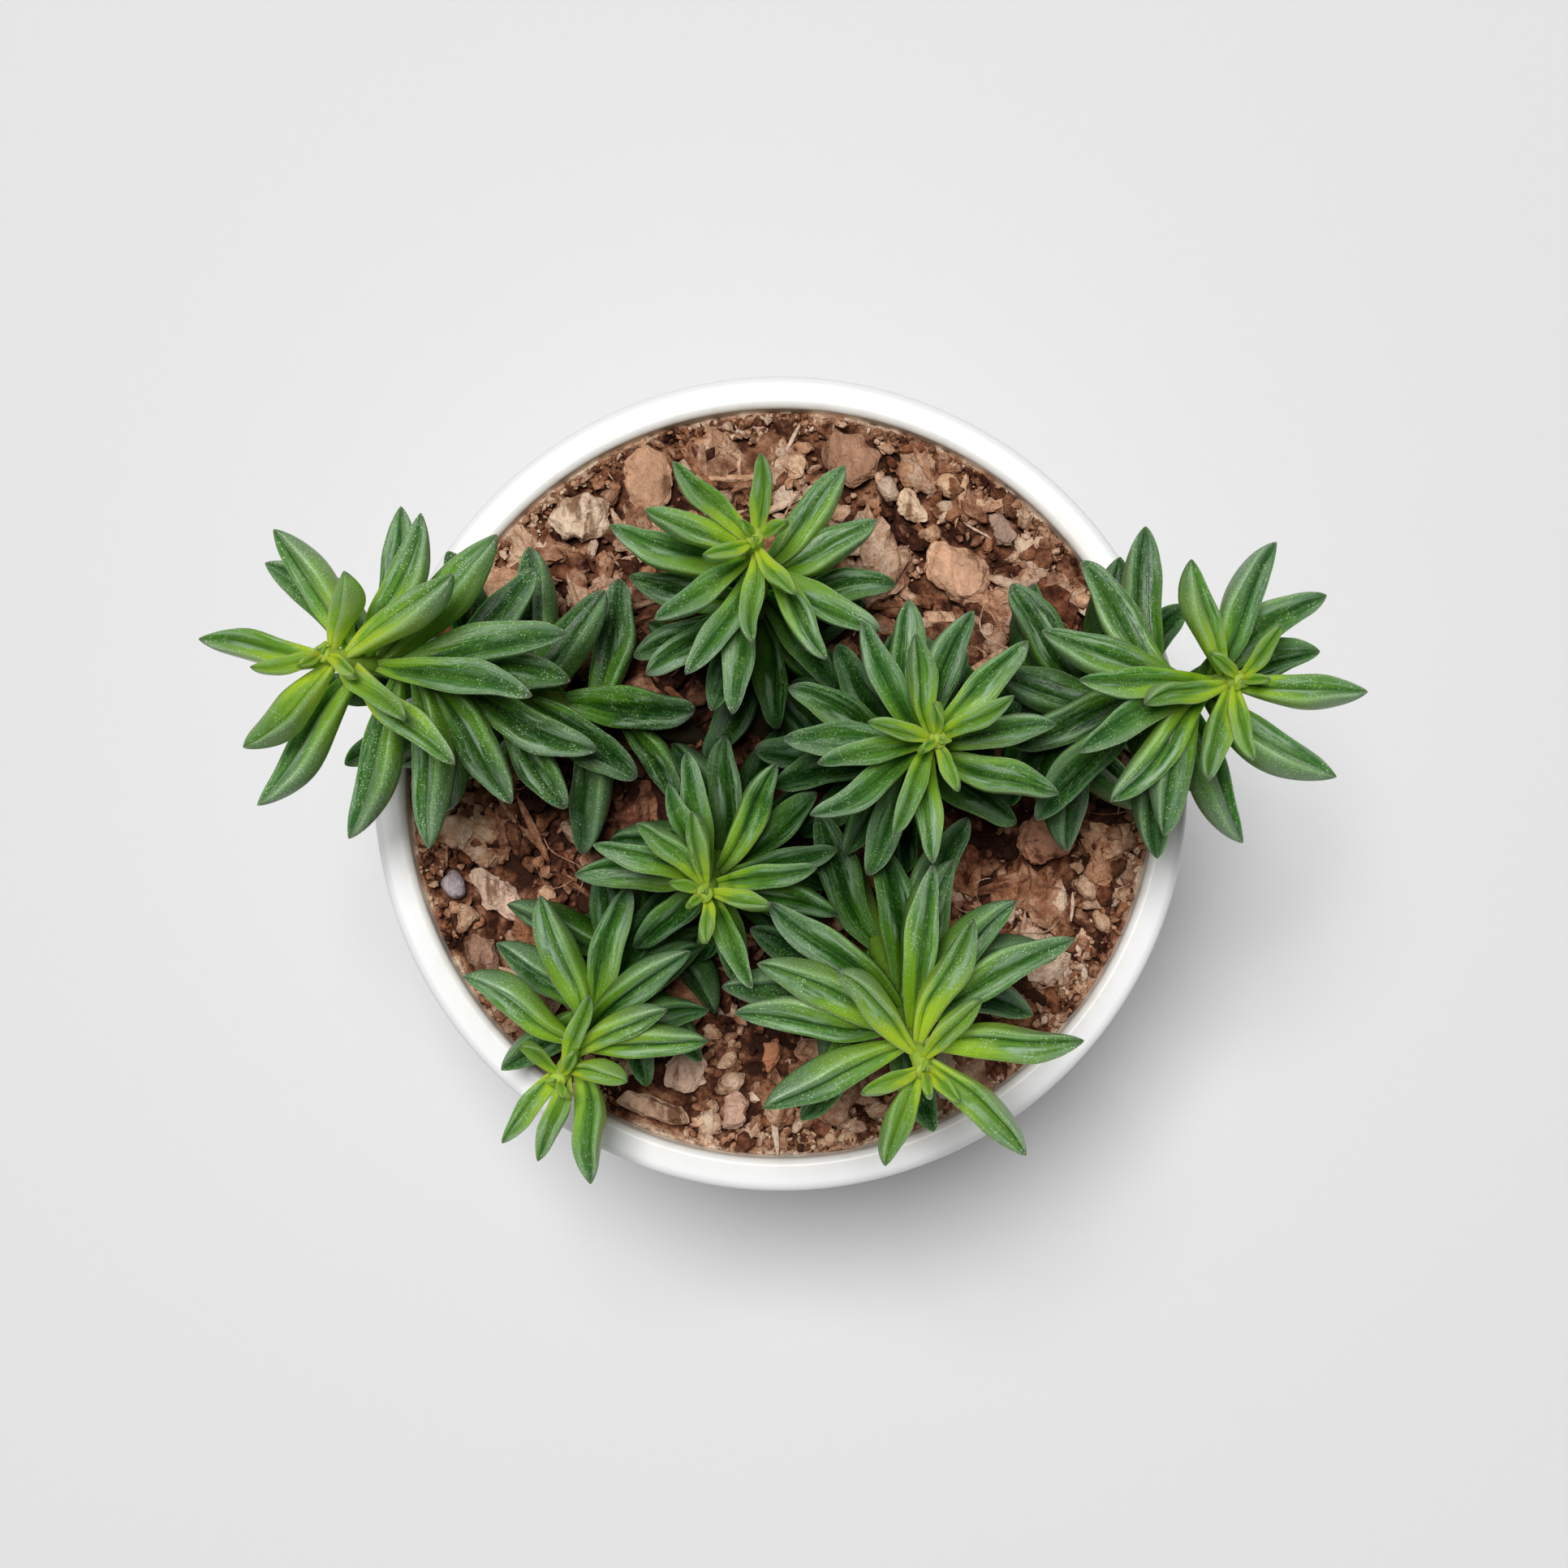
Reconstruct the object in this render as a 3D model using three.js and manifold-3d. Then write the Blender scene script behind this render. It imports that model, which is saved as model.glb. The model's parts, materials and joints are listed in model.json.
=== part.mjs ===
// Potted peperomia: seven leafy shoots of fleshy folded leaves, rooted in bark-rich soil in a white pot.
// Millimetres, +Z up. The pot's axis is the Z axis and its flat base lies on Z = 0.
import * as THREE from 'three';
import { mergeVertices } from 'three/addons/utils/BufferGeometryUtils.js';
import Module from 'manifold-3d';

const wasm = await Module();
wasm.setup();

// Pot
const RIM_RADIUS = 52.5;
const POT_HEIGHT = 88;
const BASE_RADIUS = 37.5;
const LIP_WIDTH = 4.2;
const LIP_HEIGHT = 10;
const LIP_OUTER_ROUND = 1.5;
const LIP_INNER_ROUND = 1.4;
const WALL = 3.6;
const FLOOR = 5;
const BASE_CHAMFER = 1.5;
const FLOOR_COVE = 3;
const POT_SIDES = 36;
const DRAIN_RADIUS = 2.5;
const DRAIN_RING = 14;
const DRAIN_COUNT = 5;
const DRAIN_SIDES = 12;

// Soil
const SOIL_TOP = 86;
const SOIL_GAP = 0.35;
const SOIL_RINGS = 5;
const SOIL_RELIEF = 0.4;
const CRUMB_COUNT = 10;
const CRUMB_SIZE = 1.7;
const HOLE_GAP = 0.35;
const POCKET_GAP = 0.4;
const CHIP_CORNERS = 7;

// The large pieces that lie in the soil's surface: place, length, width, thickness and turn in degrees
const CHIPS = [
  { name: 'bark_chip_pale', at: [-25.9, 34.3], size: [8.4, 6.8, 2.6], turn: 25, colour: 0xd9b78f },
  { name: 'bark_chip_brown', at: [-17, 39.5], size: [10, 7.6, 2.2], turn: 100, colour: 0xa9805f },
  { name: 'bark_chip_back', at: [9, 42], size: [9.6, 6.4, 2.2], turn: -40, colour: 0xb58d6c },
  { name: 'bark_flake', at: [16.7, 35.6], size: [5.4, 3.6, 1.8], turn: -60, colour: 0xc7a27e },
  { name: 'bark_chip_grey', at: [28.6, 32.8], size: [4.6, 3.2, 2], turn: -70, colour: 0xb3998a },
  { name: 'bark_chip_orange', at: [22.6, 27], size: [10.4, 7, 3], turn: -35, colour: 0xcf9468 },
  { name: 'pebble', at: [-42.3, -13.2], size: [4.8, 3.4, 3], turn: -75, colour: 0xa8a0ad },
  { name: 'bark_chip_long', at: [-36, -14.6], size: [9.6, 4.2, 2.4], turn: -38, colour: 0xc9a083 },
  { name: 'bark_chip_ribbed', at: [-38.6, -22.4], size: [8.4, 4, 2.6], turn: -62, colour: 0xa9795a },
  { name: 'soil_clod', at: [33.8, -7.3], size: [9.2, 8, 3.4], turn: 30, colour: 0x84543f },
  { name: 'wood_stick', at: [-16.2, -41.9], size: [11.8, 3.2, 2.6], turn: -21, colour: 0xb18a67 },
  { name: 'bark_chip_square', at: [-12.4, -36.9], size: [7, 6.4, 2], turn: 15, colour: 0xb09273 },
  { name: 'bark_block', at: [-5.9, -42.1], size: [5.4, 3.8, 3], turn: -80, colour: 0xcb9c7c },
  { name: 'bark_sliver', at: [-1.2, -35], size: [4.8, 2.2, 2], turn: 85, colour: 0xb9704c },
];

// Stems
const STEM_FOOT_RADIUS = 1.7;
const STEM_TIP_RADIUS = 1.0;
const STEM_SIDES = 6;
const STEM_STEPS = 8;
const STEM_DEPTH = 16;
const STEM_BEND = 5;

// Leaves. Age 0 is the youngest leaf, in the middle of the bud. Leaves from SIMPLE_AGE on have a plain keel.
const LEAF_LENGTH = 18.6;
const LEAF_WIDTH = 4.4;
const LEAF_DEPTH = 4.8;
const AGE_BROADENING = 0.22;
const AGE_SHORTENING = 0.18;
const YOUTH_SLIMMING = 0.36;
const SLIM_AGE = 16;
const GROOVE_SHARE = 0.24;
const GROWTH_AGE = 5.2;
const GROWTH_POWER = 1.2;
const BUD_LIFT = 72;
const LIFT_DROP = 14.5;
const LIFT_POWER = 0.6;
const LOWEST_LIFT = -10;
const LEAF_CURL = 18;
const LEAN_SHARE = 0.85;
const SPIRAL_TURN = 137.5;
const BUD_SPACING = 0.6;
const SPACING_GROWTH = 0.019;
const LEAF_RINGS = [0.12, 0.5, 0.86];
const SIMPLE_AGE = 13;

// Room that a leaf keeps from other shoots, from its own shoot, from the pot and from the soil
const SHOOT_ROOM = 0.45;
const OWN_ROOM = 0.1;
const POT_ROOM = 0.6;
const SOIL_ROOM = 2.4;
const BARE_FOOT = 3;

// Each shoot: where its stem leaves the soil, where its bud stands (height is above the rim), how its stem
// bows, how large it grows, the way it twists, and the headings of its upper leaves from the youngest on,
// in degrees with 0 along +X. Older leaves carry on round the stem by the spiral turn.
const SHOOTS = [
  {
    name: 'shoot_left',
    foot: [-13, 7],
    bud: [-53, 15, 42],
    bow: [0.72, 0.55],
    vigour: 1.17,
    twist: 1,
    leaves: 43,
    headings: [60, 215, 330, 197, 75, 320, 228, 35, 173, 315, 120, 65, 234, 350, 47, 82, 5, 140, 252, 8,
      268, 305, 45, 290, 355, 180, 215, 100, 220, 300, 45, 305],
  },
  {
    name: 'shoot_right',
    foot: [14, 6],
    bud: [53, 12, 44],
    bow: [0.8, 0.65],
    vigour: 1.13,
    twist: 1,
    leaves: 37,
    headings: [240, 0, 145, 55, 275, 195, 262, 110, 355, 180, 205, 215, 65, 240, 325, 160, 35, 130, 295,
      265, 15, 95, 200, 230, 185, 215, 320, 85, 125],
  },
  {
    name: 'shoot_back',
    foot: [-2.5, 9],
    bud: [-3, 29, 36],
    bow: [0.8, 0.4],
    vigour: 0.99,
    twist: 1,
    leaves: 33,
    headings: [270, 130, 25, 200, 305, 85, 268, 135, 160, 215, 305, 240, 330, 260, 165, 50, 35, 250, 230,
      310, 5, 170, 280],
  },
  {
    name: 'shoot_middle',
    foot: [8.5, 1.5],
    bud: [18, 5, 46],
    bow: [0.8, 0.55],
    vigour: 0.97,
    twist: -1,
    leaves: 34,
    headings: [350, 215, 100, 290, 165, 30, 245, 100, 190, 270, 205, 120, 8, 45, 340, 70, 95, 175, 250, 100,
      160],
  },
  {
    name: 'shoot_front',
    foot: [-4.5, -3.5],
    bud: [-9, -13, 35],
    bow: [0.8, 0.4],
    vigour: 0.94,
    twist: -1,
    leaves: 31,
    headings: [70, 215, 160, 275, 350, 100, 135, 295, 110, 10, 160, 105, 345, 60, 350, 180, 30, 330, 280,
      225],
  },
  {
    name: 'shoot_front_left',
    foot: [-12, -8],
    bud: [-27, -36, 25],
    bow: [0.7, 0.35],
    vigour: 0.96,
    twist: -1,
    leaves: 30,
    headings: [170, 295, 55, 140, 355, 70, 255, 230, 28, 280, 18, 150, 40, 10, 110, 75, 130, 30, 215, 60,
      95, 320, 290],
  },
  {
    name: 'shoot_front_right',
    foot: [8, -8],
    bud: [16.5, -33, 45],
    bow: [0.6, 0.6],
    vigour: 1.19,
    twist: 1,
    leaves: 29,
    headings: [90, 280, 320, 200, 50, 250, 133, 318, 68, 3, 203, 84, 155, 30, 170, 40, 140, 70, 175, 95],
  },
];

const radians = (degrees) => degrees * Math.PI / 180;

// Joining and cutting

function toSolid(geometry) {
  geometry.deleteAttribute('normal');
  geometry.deleteAttribute('uv');
  const welded = mergeVertices(geometry, 1e-4);
  return new wasm.Manifold(new wasm.Mesh({
    numProp: 3,
    vertProperties: new Float32Array(welded.attributes.position.array),
    triVerts: new Uint32Array(welded.index.array),
  }));
}

function toGeometry(solid) {
  const mesh = solid.getMesh();
  const geometry = new THREE.BufferGeometry();
  geometry.setAttribute('position', new THREE.BufferAttribute(new Float32Array(mesh.vertProperties), 3));
  geometry.setIndex(new THREE.BufferAttribute(new Uint32Array(mesh.triVerts), 1));
  geometry.computeVertexNormals();
  return geometry;
}

// The one body that a join or cut leaves, without any scrap
function mainPiece(solid) {
  return solid.decompose().reduce((largest, piece) => (piece.volume() > largest.volume() ? piece : largest));
}

function toMesh(name, solid, colour, roughness) {
  const material = new THREE.MeshStandardMaterial({ color: colour, roughness, metalness: 0 });
  const mesh = new THREE.Mesh(toGeometry(solid), material);
  mesh.name = name;
  return mesh;
}

// A closed skin over rings of points, with a single point at each end
function ringSkin(start, rings, end) {
  const points = [start, ...rings.flat(), end];
  const sides = rings[0].length;
  const faces = [];
  const at = (ring, side) => 1 + ring * sides + side % sides;
  const last = rings.length - 1;
  for (let side = 0; side < sides; side++) {
    faces.push(0, at(0, side + 1), at(0, side));
    for (let ring = 0; ring < last; ring++) {
      faces.push(at(ring, side), at(ring, side + 1), at(ring + 1, side));
      faces.push(at(ring, side + 1), at(ring + 1, side + 1), at(ring + 1, side));
    }
    faces.push(at(last, side), at(last, side + 1), points.length - 1);
  }
  const geometry = new THREE.BufferGeometry();
  geometry.setAttribute('position', new THREE.Float32BufferAttribute(points.flatMap((p) => p.toArray()), 3));
  geometry.setIndex(faces);
  return toSolid(geometry);
}

// Growth: where each leaf sits, how long it is and which way it points

// A seeded draw of numbers between 0 and 1
function seededDraw(seed) {
  let state = seed;
  return () => {
    state = (Math.imul(state, 1664525) + 1013904223) >>> 0;
    return state / 4294967296;
  };
}

function stemCurve(shoot) {
  const foot = new THREE.Vector3(shoot.foot[0], shoot.foot[1], SOIL_TOP);
  const bud = new THREE.Vector3(shoot.bud[0], shoot.bud[1], POT_HEIGHT + shoot.bud[2]);
  const rise = bud.clone().sub(foot);
  const bend = foot.clone().add(new THREE.Vector3(
    rise.x * shoot.bow[0], rise.y * shoot.bow[0], rise.z * shoot.bow[1]));
  return new THREE.QuadraticBezierCurve3(foot, bend, bud);
}

// From 0 for the leaves near the bud to 1 for the oldest, near the soil
const agedness = (age) => Math.min(1, Math.max(0, (age - 12) / 22));
const leafLength = (age) => LEAF_LENGTH * (1 - Math.exp(-(((age + 0.6) / GROWTH_AGE) ** GROWTH_POWER)))
  * (1 - AGE_SHORTENING * agedness(age));
const leafLift = (age) => Math.max(LOWEST_LIFT, BUD_LIFT - LIFT_DROP * age ** LIFT_POWER);
const budDistance = (age) => BUD_SPACING * age + SPACING_GROWTH * age * age;

function leafHeading(shoot, age) {
  const listed = shoot.headings.length;
  if (age < listed) return shoot.headings[age];
  return shoot.headings[listed - 1] + shoot.twist * SPIRAL_TURN * (age - listed + 1);
}

// How far a leaf rolls about its own length, so that it faces along the stem even where the stem leans
function leanRoll(heading, lift, tangent) {
  const cos = Math.cos(radians(heading));
  const sin = Math.sin(radians(heading));
  const level = new THREE.Vector3(-sin, cos, 0);
  const upright = new THREE.Vector3(-Math.sin(radians(lift)) * cos, -Math.sin(radians(lift)) * sin,
    Math.cos(radians(lift)));
  const turn = Math.atan2(tangent.dot(level), Math.max(0.2, tangent.dot(upright)));
  return -LEAN_SHARE * Math.cos(radians(lift)) * turn * 180 / Math.PI;
}

// A point of a leaf's fold line, and the leaf's own directions there: share 0 is the stem end, 1 the tip
function leafFrame(leaf, share) {
  const curl = radians(LEAF_CURL);
  const start = radians(leaf.lift) + curl / 2;
  const slope = start - curl * share;
  const out = leaf.length * (Math.sin(start) - Math.sin(slope)) / curl;
  const up = leaf.length * (Math.cos(slope) - Math.cos(start)) / curl;
  const cos = Math.cos(radians(leaf.heading));
  const sin = Math.sin(radians(leaf.heading));
  const level = new THREE.Vector3(-sin, cos, 0);
  const upright = new THREE.Vector3(-Math.sin(slope) * cos, -Math.sin(slope) * sin, Math.cos(slope));
  const roll = radians(leaf.roll);
  return {
    point: new THREE.Vector3(leaf.root.x + out * cos, leaf.root.y + out * sin, leaf.root.z + up),
    side: level.clone().multiplyScalar(Math.cos(roll)).addScaledVector(upright, Math.sin(roll)),
    normal: upright.clone().multiplyScalar(Math.cos(roll)).addScaledVector(level, -Math.sin(roll)),
  };
}

// How full a leaf is along its length, as a share of its greatest: narrow foot, tip blunter with age
const leafFullness = (age, share) => Math.sin(Math.PI * (0.09 + 0.91 * share) ** 1.3)
  ** (0.76 - 0.18 * agedness(age));
const leafScale = (leaf) => Math.min(1, 0.25 + 0.75 * leaf.length / LEAF_LENGTH);
const slimness = (age) => 1 - YOUTH_SLIMMING * Math.max(0, 1 - age / SLIM_AGE);
const halfWidth = (leaf, share) => 0.5 * LEAF_WIDTH * leafScale(leaf) * leafFullness(leaf.age, share)
  * slimness(leaf.age) * (1 + AGE_BROADENING * agedness(leaf.age));
const depth = (leaf, share) => LEAF_DEPTH * leafScale(leaf) * leafFullness(leaf.age, share);

// Balls that fill a leaf, used to keep it clear of the others
function leafBalls(leaf) {
  const balls = [];
  for (let share = 0.22; share < 1; share += 0.11) {
    const { point, normal } = leafFrame(leaf, share);
    const deep = depth(leaf, share);
    const upper = point.clone().addScaledVector(normal, -0.12 * deep);
    const lower = point.clone().addScaledVector(normal, -0.68 * deep);
    balls.push({ at: upper, radius: halfWidth(leaf, share), share });
    balls.push({ at: lower, radius: 0.3 * deep, share });
  }
  return balls;
}

function clearOfPotAndSoil(balls) {
  const inner = RIM_RADIUS - LIP_WIDTH;
  return balls.every(({ at, radius }) => {
    const reach = Math.hypot(at.x, at.y);
    const beside = Math.max(inner - reach, reach - RIM_RADIUS, 0);
    const above = Math.max(at.z - POT_HEIGHT, 0);
    const offPot = Math.hypot(beside, above) > radius + POT_ROOM;
    return offPot && (reach > inner || at.z > SOIL_TOP + SOIL_ROOM + radius);
  });
}

// Own leaves may meet at the stem, where they grow together, but not beyond it
function clearOfOthers(balls, shoot, leaves, stems) {
  const middle = balls[Math.floor(balls.length / 2)].at;
  const near = leaves.filter((other) => other.balls[Math.floor(other.balls.length / 2)].at
    .distanceTo(middle) < 1.3 * LEAF_LENGTH);
  return balls.every(({ at, radius, share }) => {
    const offStems = stems.every((stem) => stem.shoot === shoot
      || at.distanceTo(stem.at) > radius + stem.radius + SHOOT_ROOM);
    return offStems && near.every((other) => other.balls.every((ball) => {
      if (other.shoot === shoot && (share < 0.5 || ball.share < 0.5)) return true;
      const room = other.shoot === shoot ? OWN_ROOM : SHOOT_ROOM;
      return at.distanceTo(ball.at) > radius + ball.radius + room;
    }));
  });
}

// The places a leaf tries, from the one it would take alone to swung, raised or shorter ones
function leafTries(leaf) {
  const tries = [];
  for (const shorter of [1, 0.84, 0.7]) {
    for (const step of [0, 7, 14, 21, 28]) {
      const ways = step === 0 ? 1 : 8;
      for (let way = 0; way < ways; way++) {
        tries.push({ ...leaf,
          length: leaf.length * shorter,
          heading: leaf.heading + step * Math.cos(way * Math.PI / 4),
          lift: leaf.lift + step * Math.sin(way * Math.PI / 4) });
      }
    }
  }
  return tries;
}

function stemBalls(shoot) {
  const curve = stemCurve(shoot);
  const steps = 40;
  const balls = [];
  for (let step = 0; step <= steps; step++) {
    balls.push({ shoot, at: curve.getPoint(step / steps), radius: STEM_FOOT_RADIUS });
  }
  return balls;
}

function growLeaves() {
  const stems = SHOOTS.flatMap(stemBalls);
  const draws = SHOOTS.map((shoot, index) => seededDraw(index + 1));
  const leaves = [];
  const oldest = Math.max(...SHOOTS.map((shoot) => shoot.leaves));
  for (let age = 0; age < oldest; age++) {
    SHOOTS.forEach((shoot, index) => {
      const curve = stemCurve(shoot);
      const stemLength = curve.getLength();
      const roll = 20 * (draws[index]() - 0.5);
      const size = 0.9 + 0.16 * draws[index]();
      if (age >= shoot.leaves || budDistance(age) > stemLength - BARE_FOOT) return;
      const place = 1 - budDistance(age) / stemLength;
      const tangent = curve.getTangent(place);
      const wanted = { shoot, age,
        root: curve.getPoint(place),
        heading: leafHeading(shoot, age),
        lift: leafLift(age),
        length: leafLength(age) * shoot.vigour * (age < 6 ? 1 : size) };
      for (const leaf of leafTries(wanted)) {
        leaf.roll = age < 4 ? 0 : roll + leanRoll(leaf.heading, leaf.lift, tangent);
        leaf.balls = leafBalls(leaf);
        if (clearOfPotAndSoil(leaf.balls) && clearOfOthers(leaf.balls, shoot, leaves, stems)) {
          leaves.push(leaf);
          return;
        }
      }
    });
  }
  return leaves;
}

// A folded leaf: two raised margins with a groove between them, full flanks and a keel below
function leafSolid(leaf) {
  const rings = LEAF_RINGS.map((share) => {
    const { point, side, normal } = leafFrame(leaf, share);
    const half = halfWidth(leaf, share);
    const deep = depth(leaf, share);
    const spot = (across, down) => point.clone().addScaledVector(side, across * half)
      .addScaledVector(normal, -down * deep);
    const keel = leaf.age < SIMPLE_AGE ? [spot(-0.45, 0.88), spot(0.45, 0.88)] : [spot(0, 1)];
    return [spot(0, GROOVE_SHARE), spot(-1, 0), ...keel, spot(1, 0)];
  });
  const tip = leafFrame(leaf, 1);
  return ringSkin(leaf.root, rings, tip.point);
}

// A stem: it rises through the soil, bends at the surface and runs on to the bud
function stemSolid(shoot, extra = 0) {
  const curve = stemCurve(shoot);
  const foot = curve.getPoint(0);
  const bend = foot.clone().addScaledVector(curve.getTangent(0), -STEM_BEND);
  const low = bend.clone().setZ(SOIL_TOP - STEM_DEPTH);
  const buried = new THREE.QuadraticBezierCurve3(low, bend, foot);
  const ringAt = (path, share, radius) => {
    const tangent = path.getTangent(share);
    const level = new THREE.Vector3(0, 1, 0).cross(tangent).normalize();
    const across = tangent.clone().cross(level);
    return Array.from({ length: STEM_SIDES }, (_, side) => {
      const angle = side / STEM_SIDES * 2 * Math.PI;
      return path.getPoint(share).addScaledVector(level, radius * Math.cos(angle))
        .addScaledVector(across, radius * Math.sin(angle));
    });
  };
  const rings = [0, 0.4, 0.7].map((share) => ringAt(buried, share, STEM_FOOT_RADIUS + extra));
  for (let step = 0; step <= STEM_STEPS; step++) {
    const share = step / STEM_STEPS;
    const radius = STEM_FOOT_RADIUS + (STEM_TIP_RADIUS - STEM_FOOT_RADIUS) * share;
    rings.push(ringAt(curve, share, radius + extra));
  }
  const tip = curve.getPoint(1).addScaledVector(curve.getTangent(1), 0.6);
  return ringSkin(low.clone().setZ(low.z - extra), rings, tip);
}

// Pot

const innerRadius = (height) => {
  const top = RIM_RADIUS - LIP_WIDTH;
  const bottom = BASE_RADIUS - WALL;
  return bottom + (top - bottom) * (height - FLOOR) / (POT_HEIGHT - FLOOR);
};

// Points along a quarter of a circle, from one angle to another in degrees
function arc(centreX, centreY, radius, from, to, steps) {
  return Array.from({ length: steps + 1 }, (_, step) => {
    const angle = radians(from + (to - from) * step / steps);
    return new THREE.Vector2(centreX + radius * Math.cos(angle), centreY + radius * Math.sin(angle));
  });
}

function potSolid() {
  const underLip = POT_HEIGHT - LIP_HEIGHT;
  const wallTop = innerRadius(underLip) + WALL;
  const profile = [
    new THREE.Vector2(0, 0),
    new THREE.Vector2(BASE_RADIUS - BASE_CHAMFER, 0),
    new THREE.Vector2(BASE_RADIUS, BASE_CHAMFER),
    new THREE.Vector2(wallTop, underLip),
    ...arc(RIM_RADIUS - LIP_OUTER_ROUND, POT_HEIGHT - LIP_OUTER_ROUND, LIP_OUTER_ROUND, -20, 90, 4),
    ...arc(RIM_RADIUS - LIP_WIDTH + LIP_INNER_ROUND, POT_HEIGHT - LIP_INNER_ROUND,
      LIP_INNER_ROUND, 90, 180, 3),
    new THREE.Vector2(innerRadius(FLOOR + FLOOR_COVE), FLOOR + FLOOR_COVE),
    new THREE.Vector2(innerRadius(FLOOR) - FLOOR_COVE, FLOOR),
    new THREE.Vector2(0, FLOOR),
  ];
  const upright = new THREE.LatheGeometry(profile, POT_SIDES).rotateX(Math.PI / 2);
  let pot = toSolid(upright);
  for (let hole = 0; hole < DRAIN_COUNT; hole++) {
    const angle = hole / DRAIN_COUNT * 2 * Math.PI;
    const drill = new THREE.CylinderGeometry(DRAIN_RADIUS, DRAIN_RADIUS, 3 * FLOOR, DRAIN_SIDES)
      .rotateX(Math.PI / 2)
      .translate(DRAIN_RING * Math.cos(angle), DRAIN_RING * Math.sin(angle), FLOOR / 2);
    pot = pot.subtract(toSolid(drill));
  }
  return pot;
}

// Soil and what lies in it

const soilHeight = (x, y) => SOIL_TOP + SOIL_RELIEF * (
  Math.sin(0.52 * x + 1) * Math.cos(0.47 * y - 0.5) + 0.8 * Math.sin(0.23 * x - 0.31 * y + 2));

function soilBody() {
  const ring = (radius, height) => Array.from({ length: POT_SIDES }, (_, side) => {
    const angle = side / POT_SIDES * 2 * Math.PI;
    const x = radius * Math.cos(angle);
    const y = radius * Math.sin(angle);
    return new THREE.Vector3(x, y, height ?? soilHeight(x, y));
  });
  const edge = innerRadius(SOIL_TOP) - SOIL_GAP;
  const low = FLOOR + FLOOR_COVE;
  const rings = [
    ring(innerRadius(FLOOR) - FLOOR_COVE - SOIL_GAP, FLOOR + SOIL_GAP),
    ring(innerRadius(low) - SOIL_GAP, low + SOIL_GAP),
  ];
  for (let step = SOIL_RINGS; step > 0; step--) rings.push(ring(edge * step / SOIL_RINGS));
  const bottom = new THREE.Vector3(0, 0, FLOOR + SOIL_GAP);
  return ringSkin(bottom, rings, new THREE.Vector3(0, 0, soilHeight(0, 0)));
}

// An uneven slab with worn edges, lying in the surface
function chipSolid(chip, seed, extra = 0) {
  const draw = seededDraw(seed);
  const reach = Array.from({ length: CHIP_CORNERS }, () => 0.8 + 0.3 * draw());
  const turn = radians(chip.turn);
  const middle = new THREE.Vector3(chip.at[0], chip.at[1], soilHeight(...chip.at) + 0.15 * chip.size[2]);
  const spot = (x, y, z) => new THREE.Vector3(x * Math.cos(turn) - y * Math.sin(turn),
    x * Math.sin(turn) + y * Math.cos(turn), z).add(middle);
  const ring = (share, height) => reach.map((far, corner) => {
    const angle = corner / CHIP_CORNERS * 2 * Math.PI;
    return spot(share * (far * chip.size[0] / 2 + extra) * Math.cos(angle),
      share * (far * chip.size[1] / 2 + extra) * Math.sin(angle), height);
  });
  const half = chip.size[2] / 2 + extra;
  const rings = [ring(0.82, -half), ring(1, 0.2 * half), ring(0.72, half)];
  return ringSkin(spot(0, 0, -half), rings, spot(0, 0, half));
}

// Coarse grains grown into the soil's surface, scattered by a seeded draw and kept off the wall
function soilCrumbs() {
  const draw = seededDraw(11);
  const reach = innerRadius(SOIL_TOP) - SOIL_GAP - CRUMB_SIZE - 0.5;
  return Array.from({ length: CRUMB_COUNT }, () => {
    const away = reach * Math.sqrt(draw());
    const angle = 2 * Math.PI * draw();
    const x = away * Math.cos(angle);
    const y = away * Math.sin(angle);
    const grain = new THREE.OctahedronGeometry(CRUMB_SIZE * (0.6 + 0.4 * draw()));
    grain.scale(1, 0.55 + 0.4 * draw(), 0.6).rotateZ(Math.PI * draw()).translate(x, y, soilHeight(x, y));
    return toSolid(grain);
  });
}

function soilSolid() {
  const full = wasm.Manifold.union([soilBody(), ...soilCrumbs()]);
  const holes = SHOOTS.map((shoot) => stemSolid(shoot, HOLE_GAP));
  const pockets = CHIPS.map((chip, index) => chipSolid(chip, index + 1, POCKET_GAP));
  return mainPiece(full.subtract(wasm.Manifold.union([...holes, ...pockets])));
}

// The whole plant in its pot

const leaves = growLeaves();
const group = new THREE.Group();
group.add(toMesh('pot', potSolid(), 0xf7f7f5, 0.3));
group.add(toMesh('soil', soilSolid(), 0x4a2f26, 0.95));
CHIPS.forEach((chip, index) => {
  group.add(toMesh(chip.name, chipSolid(chip, index + 1), chip.colour, 0.9));
});
for (const shoot of SHOOTS) {
  const own = leaves.filter((leaf) => leaf.shoot === shoot);
  const solid = mainPiece(wasm.Manifold.union([stemSolid(shoot), ...own.map(leafSolid)]));
  group.add(toMesh(shoot.name, solid, 0x4f8f3c, 0.45));
}

export default group;
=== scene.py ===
# %% [markdown]
# # A potted peperomia, seen from above
#
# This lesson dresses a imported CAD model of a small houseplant: seven leafy shoots in a white pot of bark-rich
# soil. The CAD model gives the frame, with every piece at its real size and place. Each cell below swaps a plain
# solid for a finer mesh of the same form, and gives it a material made of shader nodes.

import json
import math
import random
from types import SimpleNamespace

import bmesh
import bpy
import numpy as np
from mathutils import Matrix, Vector, noise
from mathutils.bvhtree import BVHTree

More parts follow.
